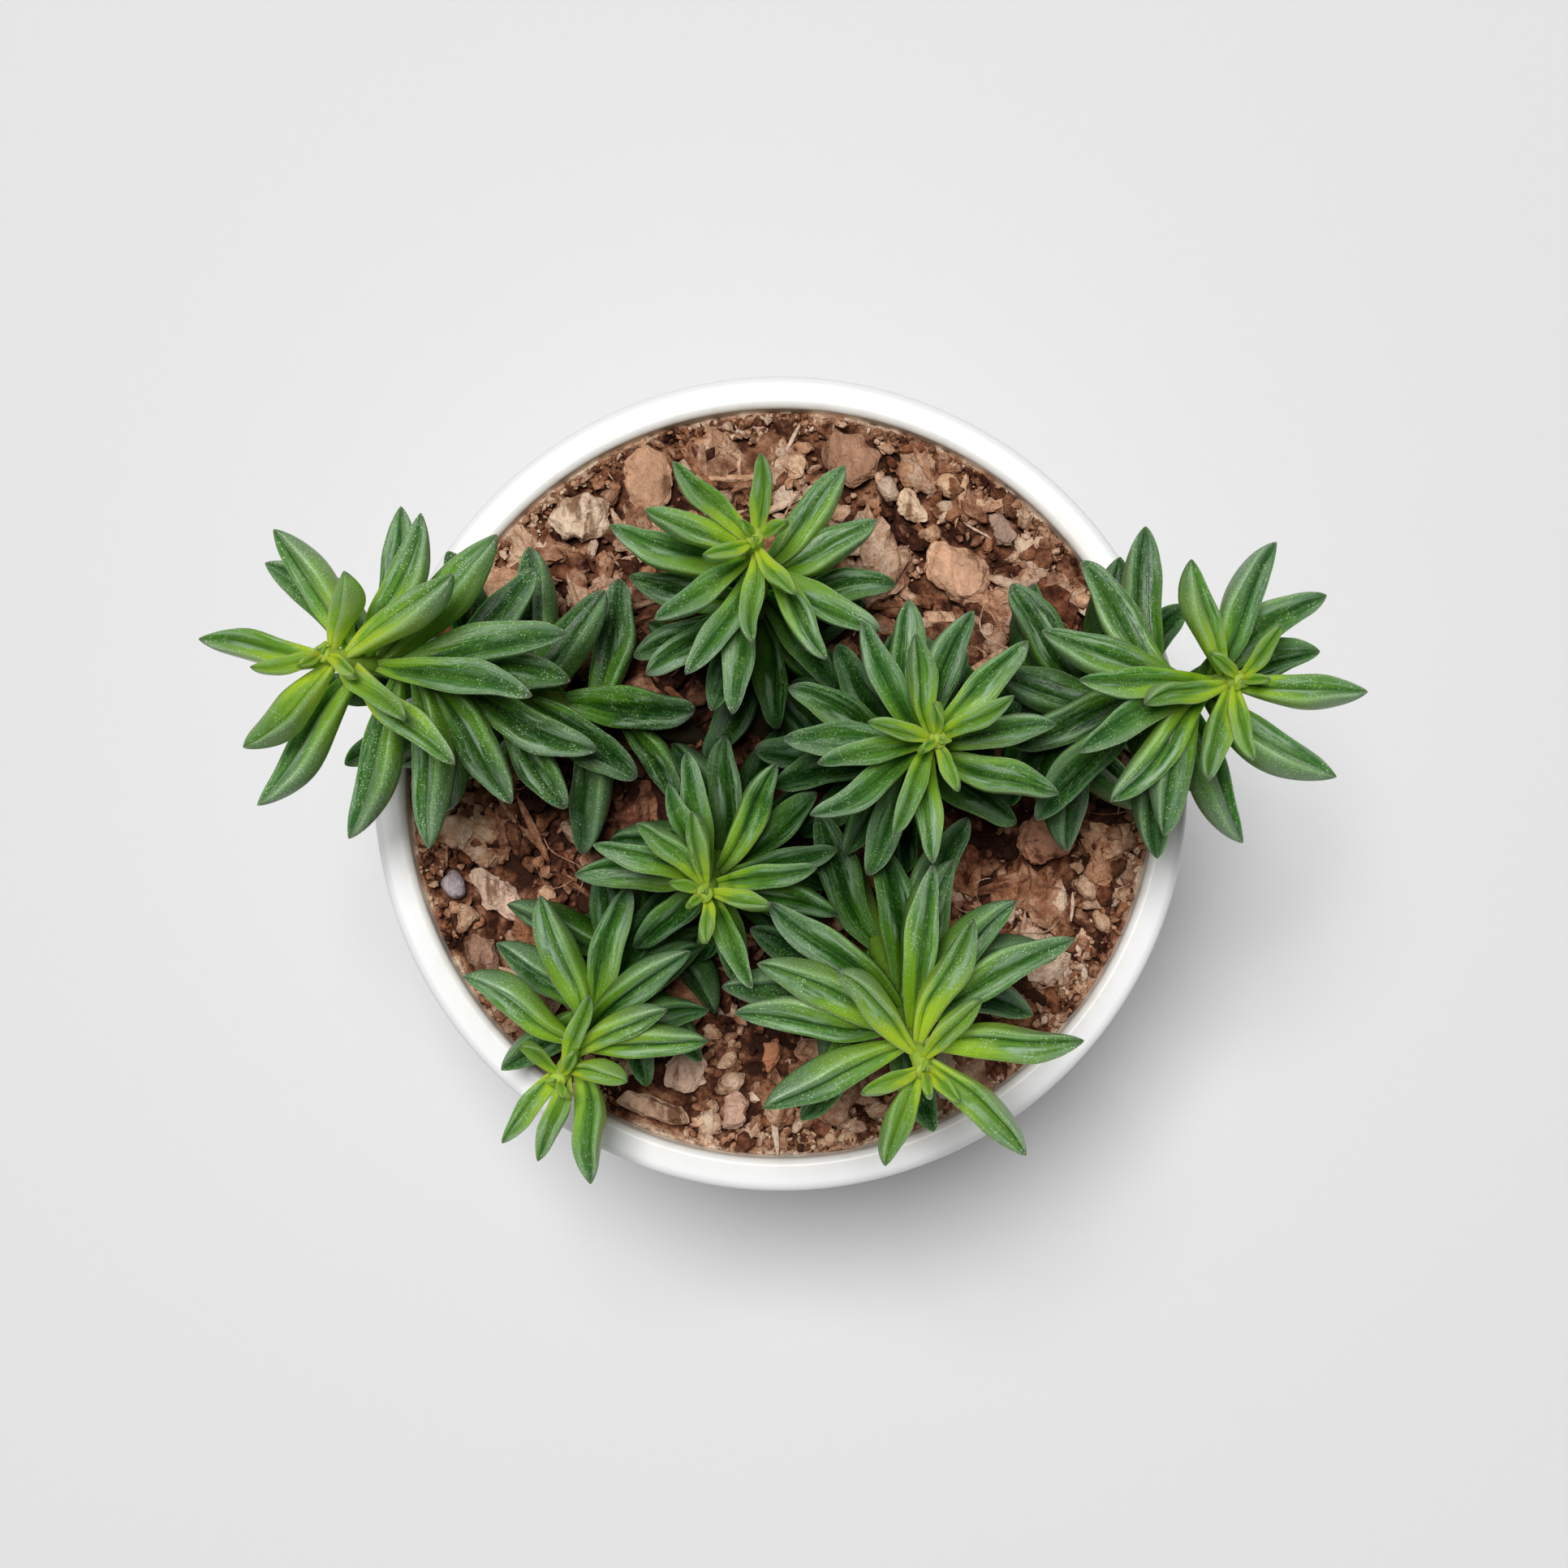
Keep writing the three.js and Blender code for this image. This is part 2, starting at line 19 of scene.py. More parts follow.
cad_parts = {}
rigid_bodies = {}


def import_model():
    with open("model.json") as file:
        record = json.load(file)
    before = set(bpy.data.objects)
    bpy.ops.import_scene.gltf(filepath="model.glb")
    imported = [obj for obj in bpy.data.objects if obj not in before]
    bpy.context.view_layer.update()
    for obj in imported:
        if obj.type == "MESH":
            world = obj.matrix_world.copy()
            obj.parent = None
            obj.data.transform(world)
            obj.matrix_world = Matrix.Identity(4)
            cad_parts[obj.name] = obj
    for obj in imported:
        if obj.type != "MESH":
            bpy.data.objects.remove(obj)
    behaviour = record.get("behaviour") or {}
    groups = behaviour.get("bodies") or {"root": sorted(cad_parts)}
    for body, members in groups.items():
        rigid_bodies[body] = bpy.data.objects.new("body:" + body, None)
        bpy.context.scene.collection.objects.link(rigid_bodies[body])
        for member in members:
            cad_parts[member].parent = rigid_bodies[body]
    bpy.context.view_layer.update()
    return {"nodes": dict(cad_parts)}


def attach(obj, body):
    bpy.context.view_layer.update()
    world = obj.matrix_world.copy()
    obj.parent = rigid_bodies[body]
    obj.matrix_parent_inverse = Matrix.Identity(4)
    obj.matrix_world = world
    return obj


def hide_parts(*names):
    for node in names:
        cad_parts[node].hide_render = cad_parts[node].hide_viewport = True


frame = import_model()
print("CAD nodes:", len(frame["nodes"]))

# %% [markdown]
# ## Driving sizes
#
# All lengths here are millimetres, as on a drawing. Blender works in metres, so the mesh helper multiplies by MM
# once, at the end. The pot's sizes and the leaf sizes repeat those of the CAD solids that they stand for.

# %% Sizes
MM = 0.001
RIM_RADIUS = 52.5
POT_HEIGHT = 88
BASE_RADIUS = 37.5
LIP_WIDTH = 4.2
LIP_HEIGHT = 10
LIP_OUTER_ROUND = 1.5
LIP_INNER_ROUND = 1.4
WALL = 3.6
FLOOR = 5
BASE_CHAMFER = 1.5
FLOOR_COVE = 3
DRAIN_RADIUS = 2.5
DRAIN_RING = 14
DRAIN_COUNT = 5
SOIL_TOP = 86
SOIL_GAP = 0.35
SOIL_RELIEF = 0.4
STEM_FOOT_RADIUS = 1.7
STEM_TIP_RADIUS = 1.0
STEM_DEPTH = 16
STEM_BEND = 5
LEAF_LENGTH = 18.6
LEAF_WIDTH = 4.4
LEAF_DEPTH = 4.8
print("rim", 2 * RIM_RADIUS, "mm across, pot", POT_HEIGHT, "mm high")

# %% [markdown]
# ## The rule of growth
#
# A leaf's age is its number, counted from the bud. Young leaves are short and stand up, old ones are long and lie
# level. Each shoot lists the headings of the leaves that show from above, and its older leaves carry on round the
# stem by the spiral turn of 137.5 degrees, which keeps leaves out of each other's shade.

# %% Growth values
GROWTH_AGE = 5.2
GROWTH_POWER = 1.2
BUD_LIFT = 72
LIFT_DROP = 14.5
LIFT_POWER = 0.6
LOWEST_LIFT = -10
LEAF_CURL = 18
LEAN_SHARE = 0.85
AGE_BROADENING = 0.22
AGE_SHORTENING = 0.18
YOUTH_SLIMMING = 0.36
SLIM_AGE = 16
SPIRAL_TURN = 137.5
BUD_SPACING = 0.6
SPACING_GROWTH = 0.019

SHOOTS = [
    dict(name="shoot_left", foot=(-13, 7), bud=(-53, 15, 42), bow=(0.72, 0.55), vigour=1.17, twist=1, leaves=43,
         headings=[60, 215, 330, 197, 75, 320, 228, 35, 173, 315, 120, 65, 234, 350, 47, 82, 5, 140, 252, 8,
                   268, 305, 45, 290, 355, 180, 215, 100, 220, 300, 45, 305]),
    dict(name="shoot_right", foot=(14, 6), bud=(53, 12, 44), bow=(0.8, 0.65), vigour=1.13, twist=1, leaves=37,
         headings=[240, 0, 145, 55, 275, 195, 262, 110, 355, 180, 205, 215, 65, 240, 325, 160, 35, 130, 295,
                   265, 15, 95, 200, 230, 185, 215, 320, 85, 125]),
    dict(name="shoot_back", foot=(-2.5, 9), bud=(-3, 29, 36), bow=(0.8, 0.4), vigour=0.99, twist=1, leaves=33,
         headings=[270, 130, 25, 200, 305, 85, 268, 135, 160, 215, 305, 240, 330, 260, 165, 50, 35, 250,
                   230, 310, 5, 170, 280]),
    dict(name="shoot_middle", foot=(8.5, 1.5), bud=(18, 5, 46), bow=(0.8, 0.55), vigour=0.97, twist=-1, leaves=34,
         headings=[350, 215, 100, 290, 165, 30, 245, 100, 190, 270, 205, 120, 8, 45, 340, 70, 95, 175, 250,
                   100, 160]),
    dict(name="shoot_front", foot=(-4.5, -3.5), bud=(-9, -13, 35), bow=(0.8, 0.4), vigour=0.94, twist=-1,
         leaves=31,
         headings=[70, 215, 160, 275, 350, 100, 135, 295, 110, 10, 160, 105, 345, 60, 350, 180, 30, 330,
                   280, 225]),
    dict(name="shoot_front_left", foot=(-12, -8), bud=(-27, -36, 25), bow=(0.7, 0.35), vigour=0.96, twist=-1,
         leaves=30,
         headings=[170, 295, 55, 140, 355, 70, 255, 230, 28, 280, 18, 150, 40, 10, 110, 75, 130, 30, 215,
                   60, 95, 320, 290]),
    dict(name="shoot_front_right", foot=(8, -8), bud=(16.5, -33, 45), bow=(0.6, 0.6), vigour=1.19, twist=1,
         leaves=29,
         headings=[90, 280, 320, 200, 50, 250, 133, 318, 68, 3, 203, 84, 155, 30, 170, 40, 140, 70, 175, 95]),
]
print(len(SHOOTS), "shoots,", sum(shoot["leaves"] for shoot in SHOOTS), "leaves wanted")

# %% [markdown]
# ## The curve of a stem
#
# A real stem leans out from the soil and then bends up towards the light. A curve through three points is enough
# for that: the foot, a middle point set by the shoot's bow, and the bud. Numpy keeps the sums in double precision,
# so that stems and leaves fall exactly where the CAD solids have them.

# %% Stem curves
def unit(vector):
    return vector / np.linalg.norm(vector)


def stem_points(shoot):
    foot = np.array([*shoot["foot"], SOIL_TOP], float)
    bud = np.array([*shoot["bud"][:2], POT_HEIGHT + shoot["bud"][2]], float)
    level, upward = shoot["bow"]
    return foot, foot + (bud - foot) * (level, level, upward), bud


def on_curve(points, share):
    start, middle, end = points
    return (1 - share) ** 2 * start + 2 * (1 - share) * share * middle + share * share * end


def curve_direction(points, share):
    start, middle, end = points
    return unit((1 - share) * (middle - start) + share * (end - middle))


def curve_length(points, steps=200):
    spots = [on_curve(points, step / steps) for step in range(steps + 1)]
    return sum(math.dist(a, b) for a, b in zip(spots, spots[1:]))


for shoot in SHOOTS:
    print(shoot["name"], "stem", round(curve_length(stem_points(shoot)), 1), "mm")

# %% [markdown]
# ## Where each leaf sits
#
# The functions below turn an age into a place on the stem, a length, a heading and a lift. A leaf's frame is a point
# on its fold line together with the leaf's own sideways and upward directions there. The blade curls down a little
# from root to tip, and a leaf on a leaning stem rolls to face up, as real leaves do.

# %% Leaf frames
BUD_AGE = 0.6
AGED_FROM = 12
AGED_OVER = 22
LEAST_UPRIGHT = 0.2


def agedness(age):
    return min(1, max(0, (age - AGED_FROM) / AGED_OVER))


def leaf_length(age):
    grown = 1 - math.exp(-(((age + BUD_AGE) / GROWTH_AGE) ** GROWTH_POWER))
    return LEAF_LENGTH * grown * (1 - AGE_SHORTENING * agedness(age))


def leaf_lift(age):
    return max(LOWEST_LIFT, BUD_LIFT - LIFT_DROP * age ** LIFT_POWER)


def bud_distance(age):
    return BUD_SPACING * age + SPACING_GROWTH * age * age


def leaf_heading(shoot, age):
    listed = shoot["headings"]
    if age < len(listed):
        return listed[age]
    return listed[-1] + shoot["twist"] * SPIRAL_TURN * (age - len(listed) + 1)


def leaf_frame(leaf, share):
    curl = math.radians(LEAF_CURL)
    start = math.radians(leaf["lift"]) + curl / 2
    slope = start - curl * share
    out = leaf["length"] * (math.sin(start) - math.sin(slope)) / curl
    up = leaf["length"] * (math.cos(slope) - math.cos(start)) / curl
    cos = math.cos(math.radians(leaf["heading"]))
    sin = math.sin(math.radians(leaf["heading"]))
    level = np.array([-sin, cos, 0])
    upright = np.array([-math.sin(slope) * cos, -math.sin(slope) * sin, math.cos(slope)])
    roll = math.radians(leaf["roll"])
    point = leaf["root"] + np.array([out * cos, out * sin, up])
    side = level * math.cos(roll) + upright * math.sin(roll)
    normal = upright * math.cos(roll) - level * math.sin(roll)
    return point, side, normal


def lean_roll(heading, lift, direction):
    cos, sin = math.cos(math.radians(heading)), math.sin(math.radians(heading))
    slope = math.radians(lift)
    level = np.dot(direction, (-sin, cos, 0))
    upright = np.dot(direction, (-math.sin(slope) * cos, -math.sin(slope) * sin, math.cos(slope)))
    return -LEAN_SHARE * math.cos(slope) * math.degrees(math.atan2(level, max(LEAST_UPRIGHT, upright)))


print("full-grown leaf", round(leaf_length(30), 1), "mm, youngest", round(leaf_length(0), 1), "mm")

# %% [markdown]
# ## The outline of a blade
#
# A blade swells from a narrow root to its broadest place past the middle, and closes at the tip. One sine over a
# bent share gives that outline, for the width and the depth alike. Young leaves are slim, and old ones broaden.

# %% Leaf blade
BLADE_START = 0.09
BLADE_SPAN = 0.91
BLADE_PULL = 1.3
BLADE_POWER = 0.76
AGED_BLADE_POWER = 0.18
LEAST_SCALE = 0.25


def leaf_fullness(age, share):
    swell = math.sin(math.pi * (BLADE_START + BLADE_SPAN * share) ** BLADE_PULL)
    return max(0, swell) ** (BLADE_POWER - AGED_BLADE_POWER * agedness(age))


def leaf_scale(leaf):
    return min(1, LEAST_SCALE + (1 - LEAST_SCALE) * leaf["length"] / LEAF_LENGTH)


def slimness(age):
    return 1 - YOUTH_SLIMMING * max(0, 1 - age / SLIM_AGE)


def half_width(leaf, share):
    broad = slimness(leaf["age"]) * (1 + AGE_BROADENING * agedness(leaf["age"]))
    return 0.5 * LEAF_WIDTH * leaf_scale(leaf) * leaf_fullness(leaf["age"], share) * broad


def leaf_depth(leaf, share):
    return LEAF_DEPTH * leaf_scale(leaf) * leaf_fullness(leaf["age"], share)


for age in (0, 34):
    print("fullness at mid-blade at age", age, round(leaf_fullness(age, 0.5), 2))

# %% [markdown]
# ## Keeping leaves clear of each other
#
# On the real plant no two leaves pass through each other. Testing whole meshes against each other would be slow, so
# each leaf is filled with a few balls, and two leaves are clear when their balls are. Leaves of one shoot may meet
# near the stem that they share. All rooms are in millimetres.

# %% Clearance
SHOOT_ROOM = 0.45
OWN_ROOM = 0.1
POT_ROOM = 0.6
SOIL_ROOM = 2.4
BALL_START = 0.22
BALL_STEP = 0.11
UPPER_BALL_DEPTH = 0.12
KEEL_BALL_DEPTH = 0.68
KEEL_BALL_RADIUS = 0.3
OUTER_HALF = 0.5
NEAR_LEAVES = 1.3 * LEAF_LENGTH


def leaf_balls(leaf):
    centres, radii, shares = [], [], []
    share = BALL_START
    while share < 1:
        point, _, normal = leaf_frame(leaf, share)
        deep = leaf_depth(leaf, share)
        centres += [point - UPPER_BALL_DEPTH * deep * normal, point - KEEL_BALL_DEPTH * deep * normal]
        radii += [half_width(leaf, share), KEEL_BALL_RADIUS * deep]
        shares += [share, share]
        share += BALL_STEP
    return np.array(centres), np.array(radii), np.array(shares)


def distances(spots, others):
    return np.linalg.norm(spots[:, None] - others[None], axis=2)


def clear_of_pot_and_soil(centres, radii):
    inner = RIM_RADIUS - LIP_WIDTH
    reach = np.hypot(centres[:, 0], centres[:, 1])
    beside = np.maximum(np.maximum(inner - reach, reach - RIM_RADIUS), 0)
    above = np.maximum(centres[:, 2] - POT_HEIGHT, 0)
    off_pot = np.hypot(beside, above) > radii + POT_ROOM
    off_soil = (reach > inner) | (centres[:, 2] > SOIL_TOP + SOIL_ROOM + radii)
    return bool((off_pot & off_soil).all())


def clear_of_others(balls, shoot, leaves, stems):
    centres, radii, shares = balls
    for other, spots in stems:
        if other is not shoot and (distances(centres, spots) <= radii[:, None] + STEM_FOOT_RADIUS + SHOOT_ROOM).any():
            return False
    middle = centres[len(centres) // 2]
    for leaf in leaves:
        spots, sizes, places = leaf["balls"]
        if math.dist(spots[len(spots) // 2], middle) >= NEAR_LEAVES:
            continue
        own = leaf["shoot"] is shoot
        near = distances(centres, spots) <= radii[:, None] + sizes[None] + (OWN_ROOM if own else SHOOT_ROOM)
        if own:
            near &= (shares[:, None] >= OUTER_HALF) & (places[None] >= OUTER_HALF)
        if near.any():
            return False
    return True


print("two leaves are tested when their middles are nearer than", round(NEAR_LEAVES, 1), "mm")

# %% [markdown]
# ## Growing the leaves
#
# Leaves are placed age by age, on all shoots in turn. If a leaf's own place is taken, it tries small swings and
# lifts, and then a shorter blade. The last resort is no leaf. The random draw is a short sum that gives the same
# numbers here and in the CAD source, so both place the same leaves.

# %% Grown leaves
DRAW_FACTOR = 1664525
DRAW_STEP = 1013904223
DRAW_RANGE = 2 ** 32
BARE_FOOT = 3
ROLL_SPREAD = 20
LEAST_SIZE = 0.9
SIZE_SPREAD = 0.16
EVEN_AGES = 6
UNROLLED_AGES = 4
STEM_STEPS = 40
SHORTER = (1, 0.84, 0.7)
SWINGS = (0, 7, 14, 21, 28)
SWING_WAYS = 8


def seeded_draw(seed):
    state = seed
    while True:
        state = (state * DRAW_FACTOR + DRAW_STEP) % DRAW_RANGE
        yield state / DRAW_RANGE


def leaf_tries(leaf):
    for shorter in SHORTER:
        for step in SWINGS:
            for way in range(1 if step == 0 else SWING_WAYS):
                turn = 2 * math.pi * way / SWING_WAYS
                yield dict(leaf, length=leaf["length"] * shorter, heading=leaf["heading"] + step * math.cos(turn),
                           lift=leaf["lift"] + step * math.sin(turn))


def grow_leaves():
    stems = [(shoot, np.array([on_curve(stem_points(shoot), step / STEM_STEPS) for step in range(STEM_STEPS + 1)]))
             for shoot in SHOOTS]
    draws = [seeded_draw(number + 1) for number in range(len(SHOOTS))]
    lengths = [curve_length(stem_points(shoot)) for shoot in SHOOTS]
    leaves = []
    for age in range(max(shoot["leaves"] for shoot in SHOOTS)):
        for shoot, draw, length in zip(SHOOTS, draws, lengths):
            roll = ROLL_SPREAD * (next(draw) - 0.5)
            size = LEAST_SIZE + SIZE_SPREAD * next(draw)
            if age >= shoot["leaves"] or bud_distance(age) > length - BARE_FOOT:
                continue
            place = 1 - bud_distance(age) / length
            direction = curve_direction(stem_points(shoot), place)
            wanted = dict(shoot=shoot, age=age, root=on_curve(stem_points(shoot), place),
                          heading=leaf_heading(shoot, age), lift=leaf_lift(age),
                          length=leaf_length(age) * shoot["vigour"] * (1 if age < EVEN_AGES else size))
            for leaf in leaf_tries(wanted):
                lean = lean_roll(leaf["heading"], leaf["lift"], direction)
                leaf["roll"] = 0 if age < UNROLLED_AGES else roll + lean
                leaf["balls"] = leaf_balls(leaf)
                if clear_of_pot_and_soil(*leaf["balls"][:2]) and clear_of_others(leaf["balls"], shoot, leaves, stems):
                    leaves.append(leaf)
                    break
    return leaves


leaves = grow_leaves()
print(len(leaves), "leaves placed")

# %% [markdown]
# ## How much sky each place sees
#
# Places that see little sky get painted shade: leaves a deeper and darker green, the soil a darker tone. To find
# the shade, a fan of rays goes up from a point, and the share that meets no shoot is the point's openness. The
# materials below read it as one more value on each point. A ray reaches 60 mm, and the soil's openness is kept on a
# grid of 2 mm cells.

# %% Openness
RAY_COUNT = 28
RAY_REACH = 60


def shoot_tree():
    points, faces = [], []
    for shoot in SHOOTS:
        mesh = frame["nodes"][shoot["name"]].data
        first = len(points)
        points += [vertex.co.copy() for vertex in mesh.vertices]
        faces += [tuple(first + index for index in face.vertices) for face in mesh.polygons]
    return BVHTree.FromPolygons(points, faces)


def sky_rays():
    rays = []
    for number in range(RAY_COUNT):
        level = math.sqrt((number + 0.5) / RAY_COUNT)
        turn = math.radians(SPIRAL_TURN) * number
        rays.append(Vector((level * math.cos(turn), level * math.sin(turn), math.sqrt(1 - level * level))))
    return rays


SHADE_TREE = shoot_tree()
SKY_RAYS = sky_rays()


def openness(x, y, z):
    start = Vector((x, y, z)) * MM
    return sum(SHADE_TREE.ray_cast(start, ray, RAY_REACH * MM)[0] is None for ray in SKY_RAYS) / RAY_COUNT


SOIL_CELL = 2.0
SOIL_CELLS = int(2 * RIM_RADIUS / SOIL_CELL) + 2
SOIL_LIGHT = np.array([[openness(column * SOIL_CELL - RIM_RADIUS, row * SOIL_CELL - RIM_RADIUS, SOIL_TOP + 1)
                        for column in range(SOIL_CELLS)] for row in range(SOIL_CELLS)])


def soil_openness(x, y):
    column, row = (x + RIM_RADIUS) / SOIL_CELL, (y + RIM_RADIUS) / SOIL_CELL
    i, j = int(column), int(row)
    u, v = column - i, row - j
    return ((1 - v) * ((1 - u) * SOIL_LIGHT[j, i] + u * SOIL_LIGHT[j, i + 1])
            + v * ((1 - u) * SOIL_LIGHT[j + 1, i] + u * SOIL_LIGHT[j + 1, i + 1]))


print("open sky over the soil: mean", round(float(SOIL_LIGHT.mean()), 2), "least", round(float(SOIL_LIGHT.min()), 2))

# %% [markdown]
# ## Mesh helpers
#
# One helper turns points and faces into an object that rides on the frame, and stores named values on its points
# so that the shader can read them. A tube helper joins rings of points: leaves, stems, pot and fibres are all
# tubes with closed ends, and their faces turn the same way round, so that every normal points outwards.

# %% Mesh helpers
def make_object(name, points, faces, material, values=None, smooth=True):
    mesh = bpy.data.meshes.new(name)
    mesh.from_pydata((np.asarray(points) * MM).tolist(), [], [tuple(face) for face in faces])
    for key, numbers in (values or {}).items():
        mesh.attributes.new(key, "FLOAT", "POINT").data.foreach_set("value", np.asarray(numbers, np.float32))
    mesh.polygons.foreach_set("use_smooth", [smooth] * len(mesh.polygons))
    mesh.materials.append(material)
    mesh.update()
    piece = bpy.data.objects.new(name, mesh)
    bpy.context.collection.objects.link(piece)
    return piece


def dress(piece, slot, *nodes):
    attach(piece, "root")
    if nodes:
        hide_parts(*nodes)


def closed_tube(rings, sides, first=0):
    faces = []
    for ring in range(rings - 1):
        for side in range(sides):
            a = first + ring * sides + side
            b = first + ring * sides + (side + 1) % sides
            faces.append((a, a + sides, b + sides, b))
    last = first + (rings - 1) * sides
    return faces + [tuple(range(first, first + sides)), tuple(reversed(range(last, last + sides)))]


def turned_over(faces):
    return [tuple(reversed(face)) for face in faces]


print("faces in a tube of three rings of four points:", len(closed_tube(3, 4)))

# %% [markdown]
# ## Node helpers
#
# A procedural material is a graph of small nodes, and wiring it by hand is long-winded. These short words stand
# for the nodes used most: times, plus, less and most do sums, ramp is a soft step from one value to another, swing
# turns noise around its middle, and blend mixes two colours. Each one returns a socket that feeds the next.

# %% Node helpers
MIX_INPUTS = (0, 6, 7)
MIX_RESULT = 2


def new_material(name, **settings):
    material = bpy.data.materials.new(name)
    material.use_nodes = True
    tree = material.node_tree
    shader = tree.nodes["Principled BSDF"]
    for socket, value in settings.items():
        shader.inputs[socket.replace("_", " ")].default_value = value
    return material, tree, shader


def feed(tree, socket, value):
    if isinstance(value, bpy.types.NodeSocket):
        tree.links.new(value, socket)
    elif isinstance(value, tuple) and len(value) == 3 and socket.type == "RGBA":
        socket.default_value = (*value, 1)
    else:
        socket.default_value = value


def math_node(tree, operation, *values):
    node = tree.nodes.new("ShaderNodeMath")
    node.operation = operation
    for socket, value in zip(node.inputs, values):
        feed(tree, socket, value)
    return node.outputs[0]


def chain(tree, operation, first, *others):
    for other in others:
        first = math_node(tree, operation, first, other)
    return first


def times(tree, *factors):
    return chain(tree, "MULTIPLY", *factors)


def plus(tree, *terms):
    return chain(tree, "ADD", *terms)


def most(tree, *values):
    return chain(tree, "MAXIMUM", *values)


def less(tree, first, second):
    return math_node(tree, "SUBTRACT", first, second)


def swing(tree, value, amount):
    return times(tree, less(tree, value, 0.5), amount)


def ramp(tree, value, low, high, start=0.0, end=1.0):
    node = tree.nodes.new("ShaderNodeMapRange")
    node.interpolation_type = "SMOOTHSTEP"
    for socket, number in zip(node.inputs, (value, low, high, start, end)):
        feed(tree, socket, number)
    return node.outputs[0]


def blend(tree, share, first, second, way="MIX"):
    node = tree.nodes.new("ShaderNodeMix")
    node.data_type = "RGBA"
    node.blend_type = way
    for index, value in zip(MIX_INPUTS, (share, first, second)):
        feed(tree, node.inputs[index], value)
    return node.outputs[MIX_RESULT]


def deepen(tree, colour, power):
    node = tree.nodes.new("ShaderNodeGamma")
    feed(tree, node.inputs[0], colour)
    feed(tree, node.inputs[1], power)
    return node.outputs[0]


def stored(tree, key):
    node = tree.nodes.new("ShaderNodeAttribute")
    node.attribute_name = key
    return node.outputs["Fac"]


def place(tree, stretch=(1, 1, 1)):
    node = tree.nodes.new("ShaderNodeTexCoord")
    mapping = tree.nodes.new("ShaderNodeMapping")
    mapping.inputs["Scale"].default_value = stretch
    tree.links.new(node.outputs["Object"], mapping.inputs["Vector"])
    return mapping.outputs[0]


def noise_value(tree, vector, scale, detail=3.0, rough=0.55):
    node = tree.nodes.new("ShaderNodeTexNoise")
    tree.links.new(vector, node.inputs["Vector"])
    node.inputs["Scale"].default_value = scale
    node.inputs["Detail"].default_value = detail
    node.inputs["Roughness"].default_value = rough
    return node.outputs["Fac"]


def joined(tree, x, y, z):
    node = tree.nodes.new("ShaderNodeCombineXYZ")
    for socket, value in zip(node.inputs, (x, y, z)):
        feed(tree, socket, value)
    return node.outputs[0]


def bump(tree, shader, height, strength, distance):
    node = tree.nodes.new("ShaderNodeBump")
    node.inputs["Strength"].default_value = strength
    node.inputs["Distance"].default_value = distance
    tree.links.new(height, node.inputs["Height"])
    tree.links.new(node.outputs[0], shader.inputs["Normal"])


print("materials that came with the CAD model:", len(bpy.data.materials))

# %% [markdown]
# ## The section of a leaf
#
# A leaf of this plant is folded like a half-open book. Its upper side has two soft lobes with the fold between
# them and a thin raised margin, and a deep, rounded keel hangs below. One ring of points holds this section. Each
# point has a place across, from -1 to 1, a depth, and a share down the flank, which is 0 on the upper side.

# %% Leaf section
TOP_STEPS = 16
TOP_SPREAD = 1.25
FLANK_STEPS = 6
FLANK_ROUNDNESS = 0.9
FOLD_DEPTH = 0.20
FOLD_SHARPNESS = 1.6
CREASE_DEPTH = 0.03
CREASE_WIDTH = 0.1
LOBE_HEIGHT = 0.08
LOBE_ROUNDNESS = 1.2
MARGIN_LIP = 0.03
MARGIN_PLACE = 0.96
MARGIN_WIDTH = 0.08


def hump(distance, width):
    return math.exp(-(distance / width) ** 2)


def leaf_section():
    ring = []
    for step in range(TOP_STEPS + 1):
        even = -1 + 2 * step / TOP_STEPS
        across = math.copysign(abs(even) ** TOP_SPREAD, even)
        fold = FOLD_DEPTH * (1 - abs(across)) ** FOLD_SHARPNESS + CREASE_DEPTH * hump(across, CREASE_WIDTH)
        lobe = LOBE_HEIGHT * math.sin(math.pi * abs(across)) ** LOBE_ROUNDNESS if abs(across) < 1 else 0
        lip = MARGIN_LIP * hump(abs(across) - MARGIN_PLACE, MARGIN_WIDTH)
        ring.append((across, fold - lobe - lip, 0))
    for step in range(1, 2 * FLANK_STEPS):
        angle = math.pi / 2 * step / FLANK_STEPS
        ring.append((math.cos(angle), math.sin(angle) ** FLANK_ROUNDNESS, math.sin(angle)))
    return np.array(ring)


ACROSS, DEPTH, DOWN = leaf_section().T
RING_POINTS = len(ACROSS)
print("points in a leaf ring:", RING_POINTS)

# %% [markdown]
# ## Leaf skins
#
# The section is drawn along the leaf's frame in rings that crowd towards the tip, where the form changes fastest.
# No two real leaves are alike, so each one draws its own sideways sweep, arch, twist, uneven lobes and depth of
# fold. Eight values ride on each point for the material: how far along, across and down it is, the light there,
# and the leaf's age, tint, lopsidedness and share of sun.

# %% Leaf skins
RING_COUNT = 36
LEAF_START = 0.02
LEAF_SPAN = 0.978
TIP_CROWDING = 1.25
FOLD_SHIFT = 0.34
TIP_FULLNESS = 0.3
FULL_TIP_AGE = 10
OLD_AGE = 30
SICKLE = 0.22
UNEVENNESS = 0.14
SWERVE = 0.13
LEAST_BIAS = 0.25
ARCH = 0.16
TWIST = 28
BEND_POWER = 1.5
TIP_START, TIP_SPAN = 0.8, 0.2
SHALLOW_FOLD, FOLD_RANGE = 0.5, 0.6
FOLD_OPENS, FOLD_CLOSES = 0.3, 0.12
RIPPLE = 0.085
RIPPLE_TURN = 12
RIPPLE_OFFSET = 2.1
LIGHT_STEPS = 7
LIGHT_LIFT = 1.3
SUNNY = {shoot["name"]: 0.35 for shoot in SHOOTS}
SUNNY.update(shoot_left=1.0, shoot_front_right=0.7, shoot_front_left=0.6, shoot_back=0.5)


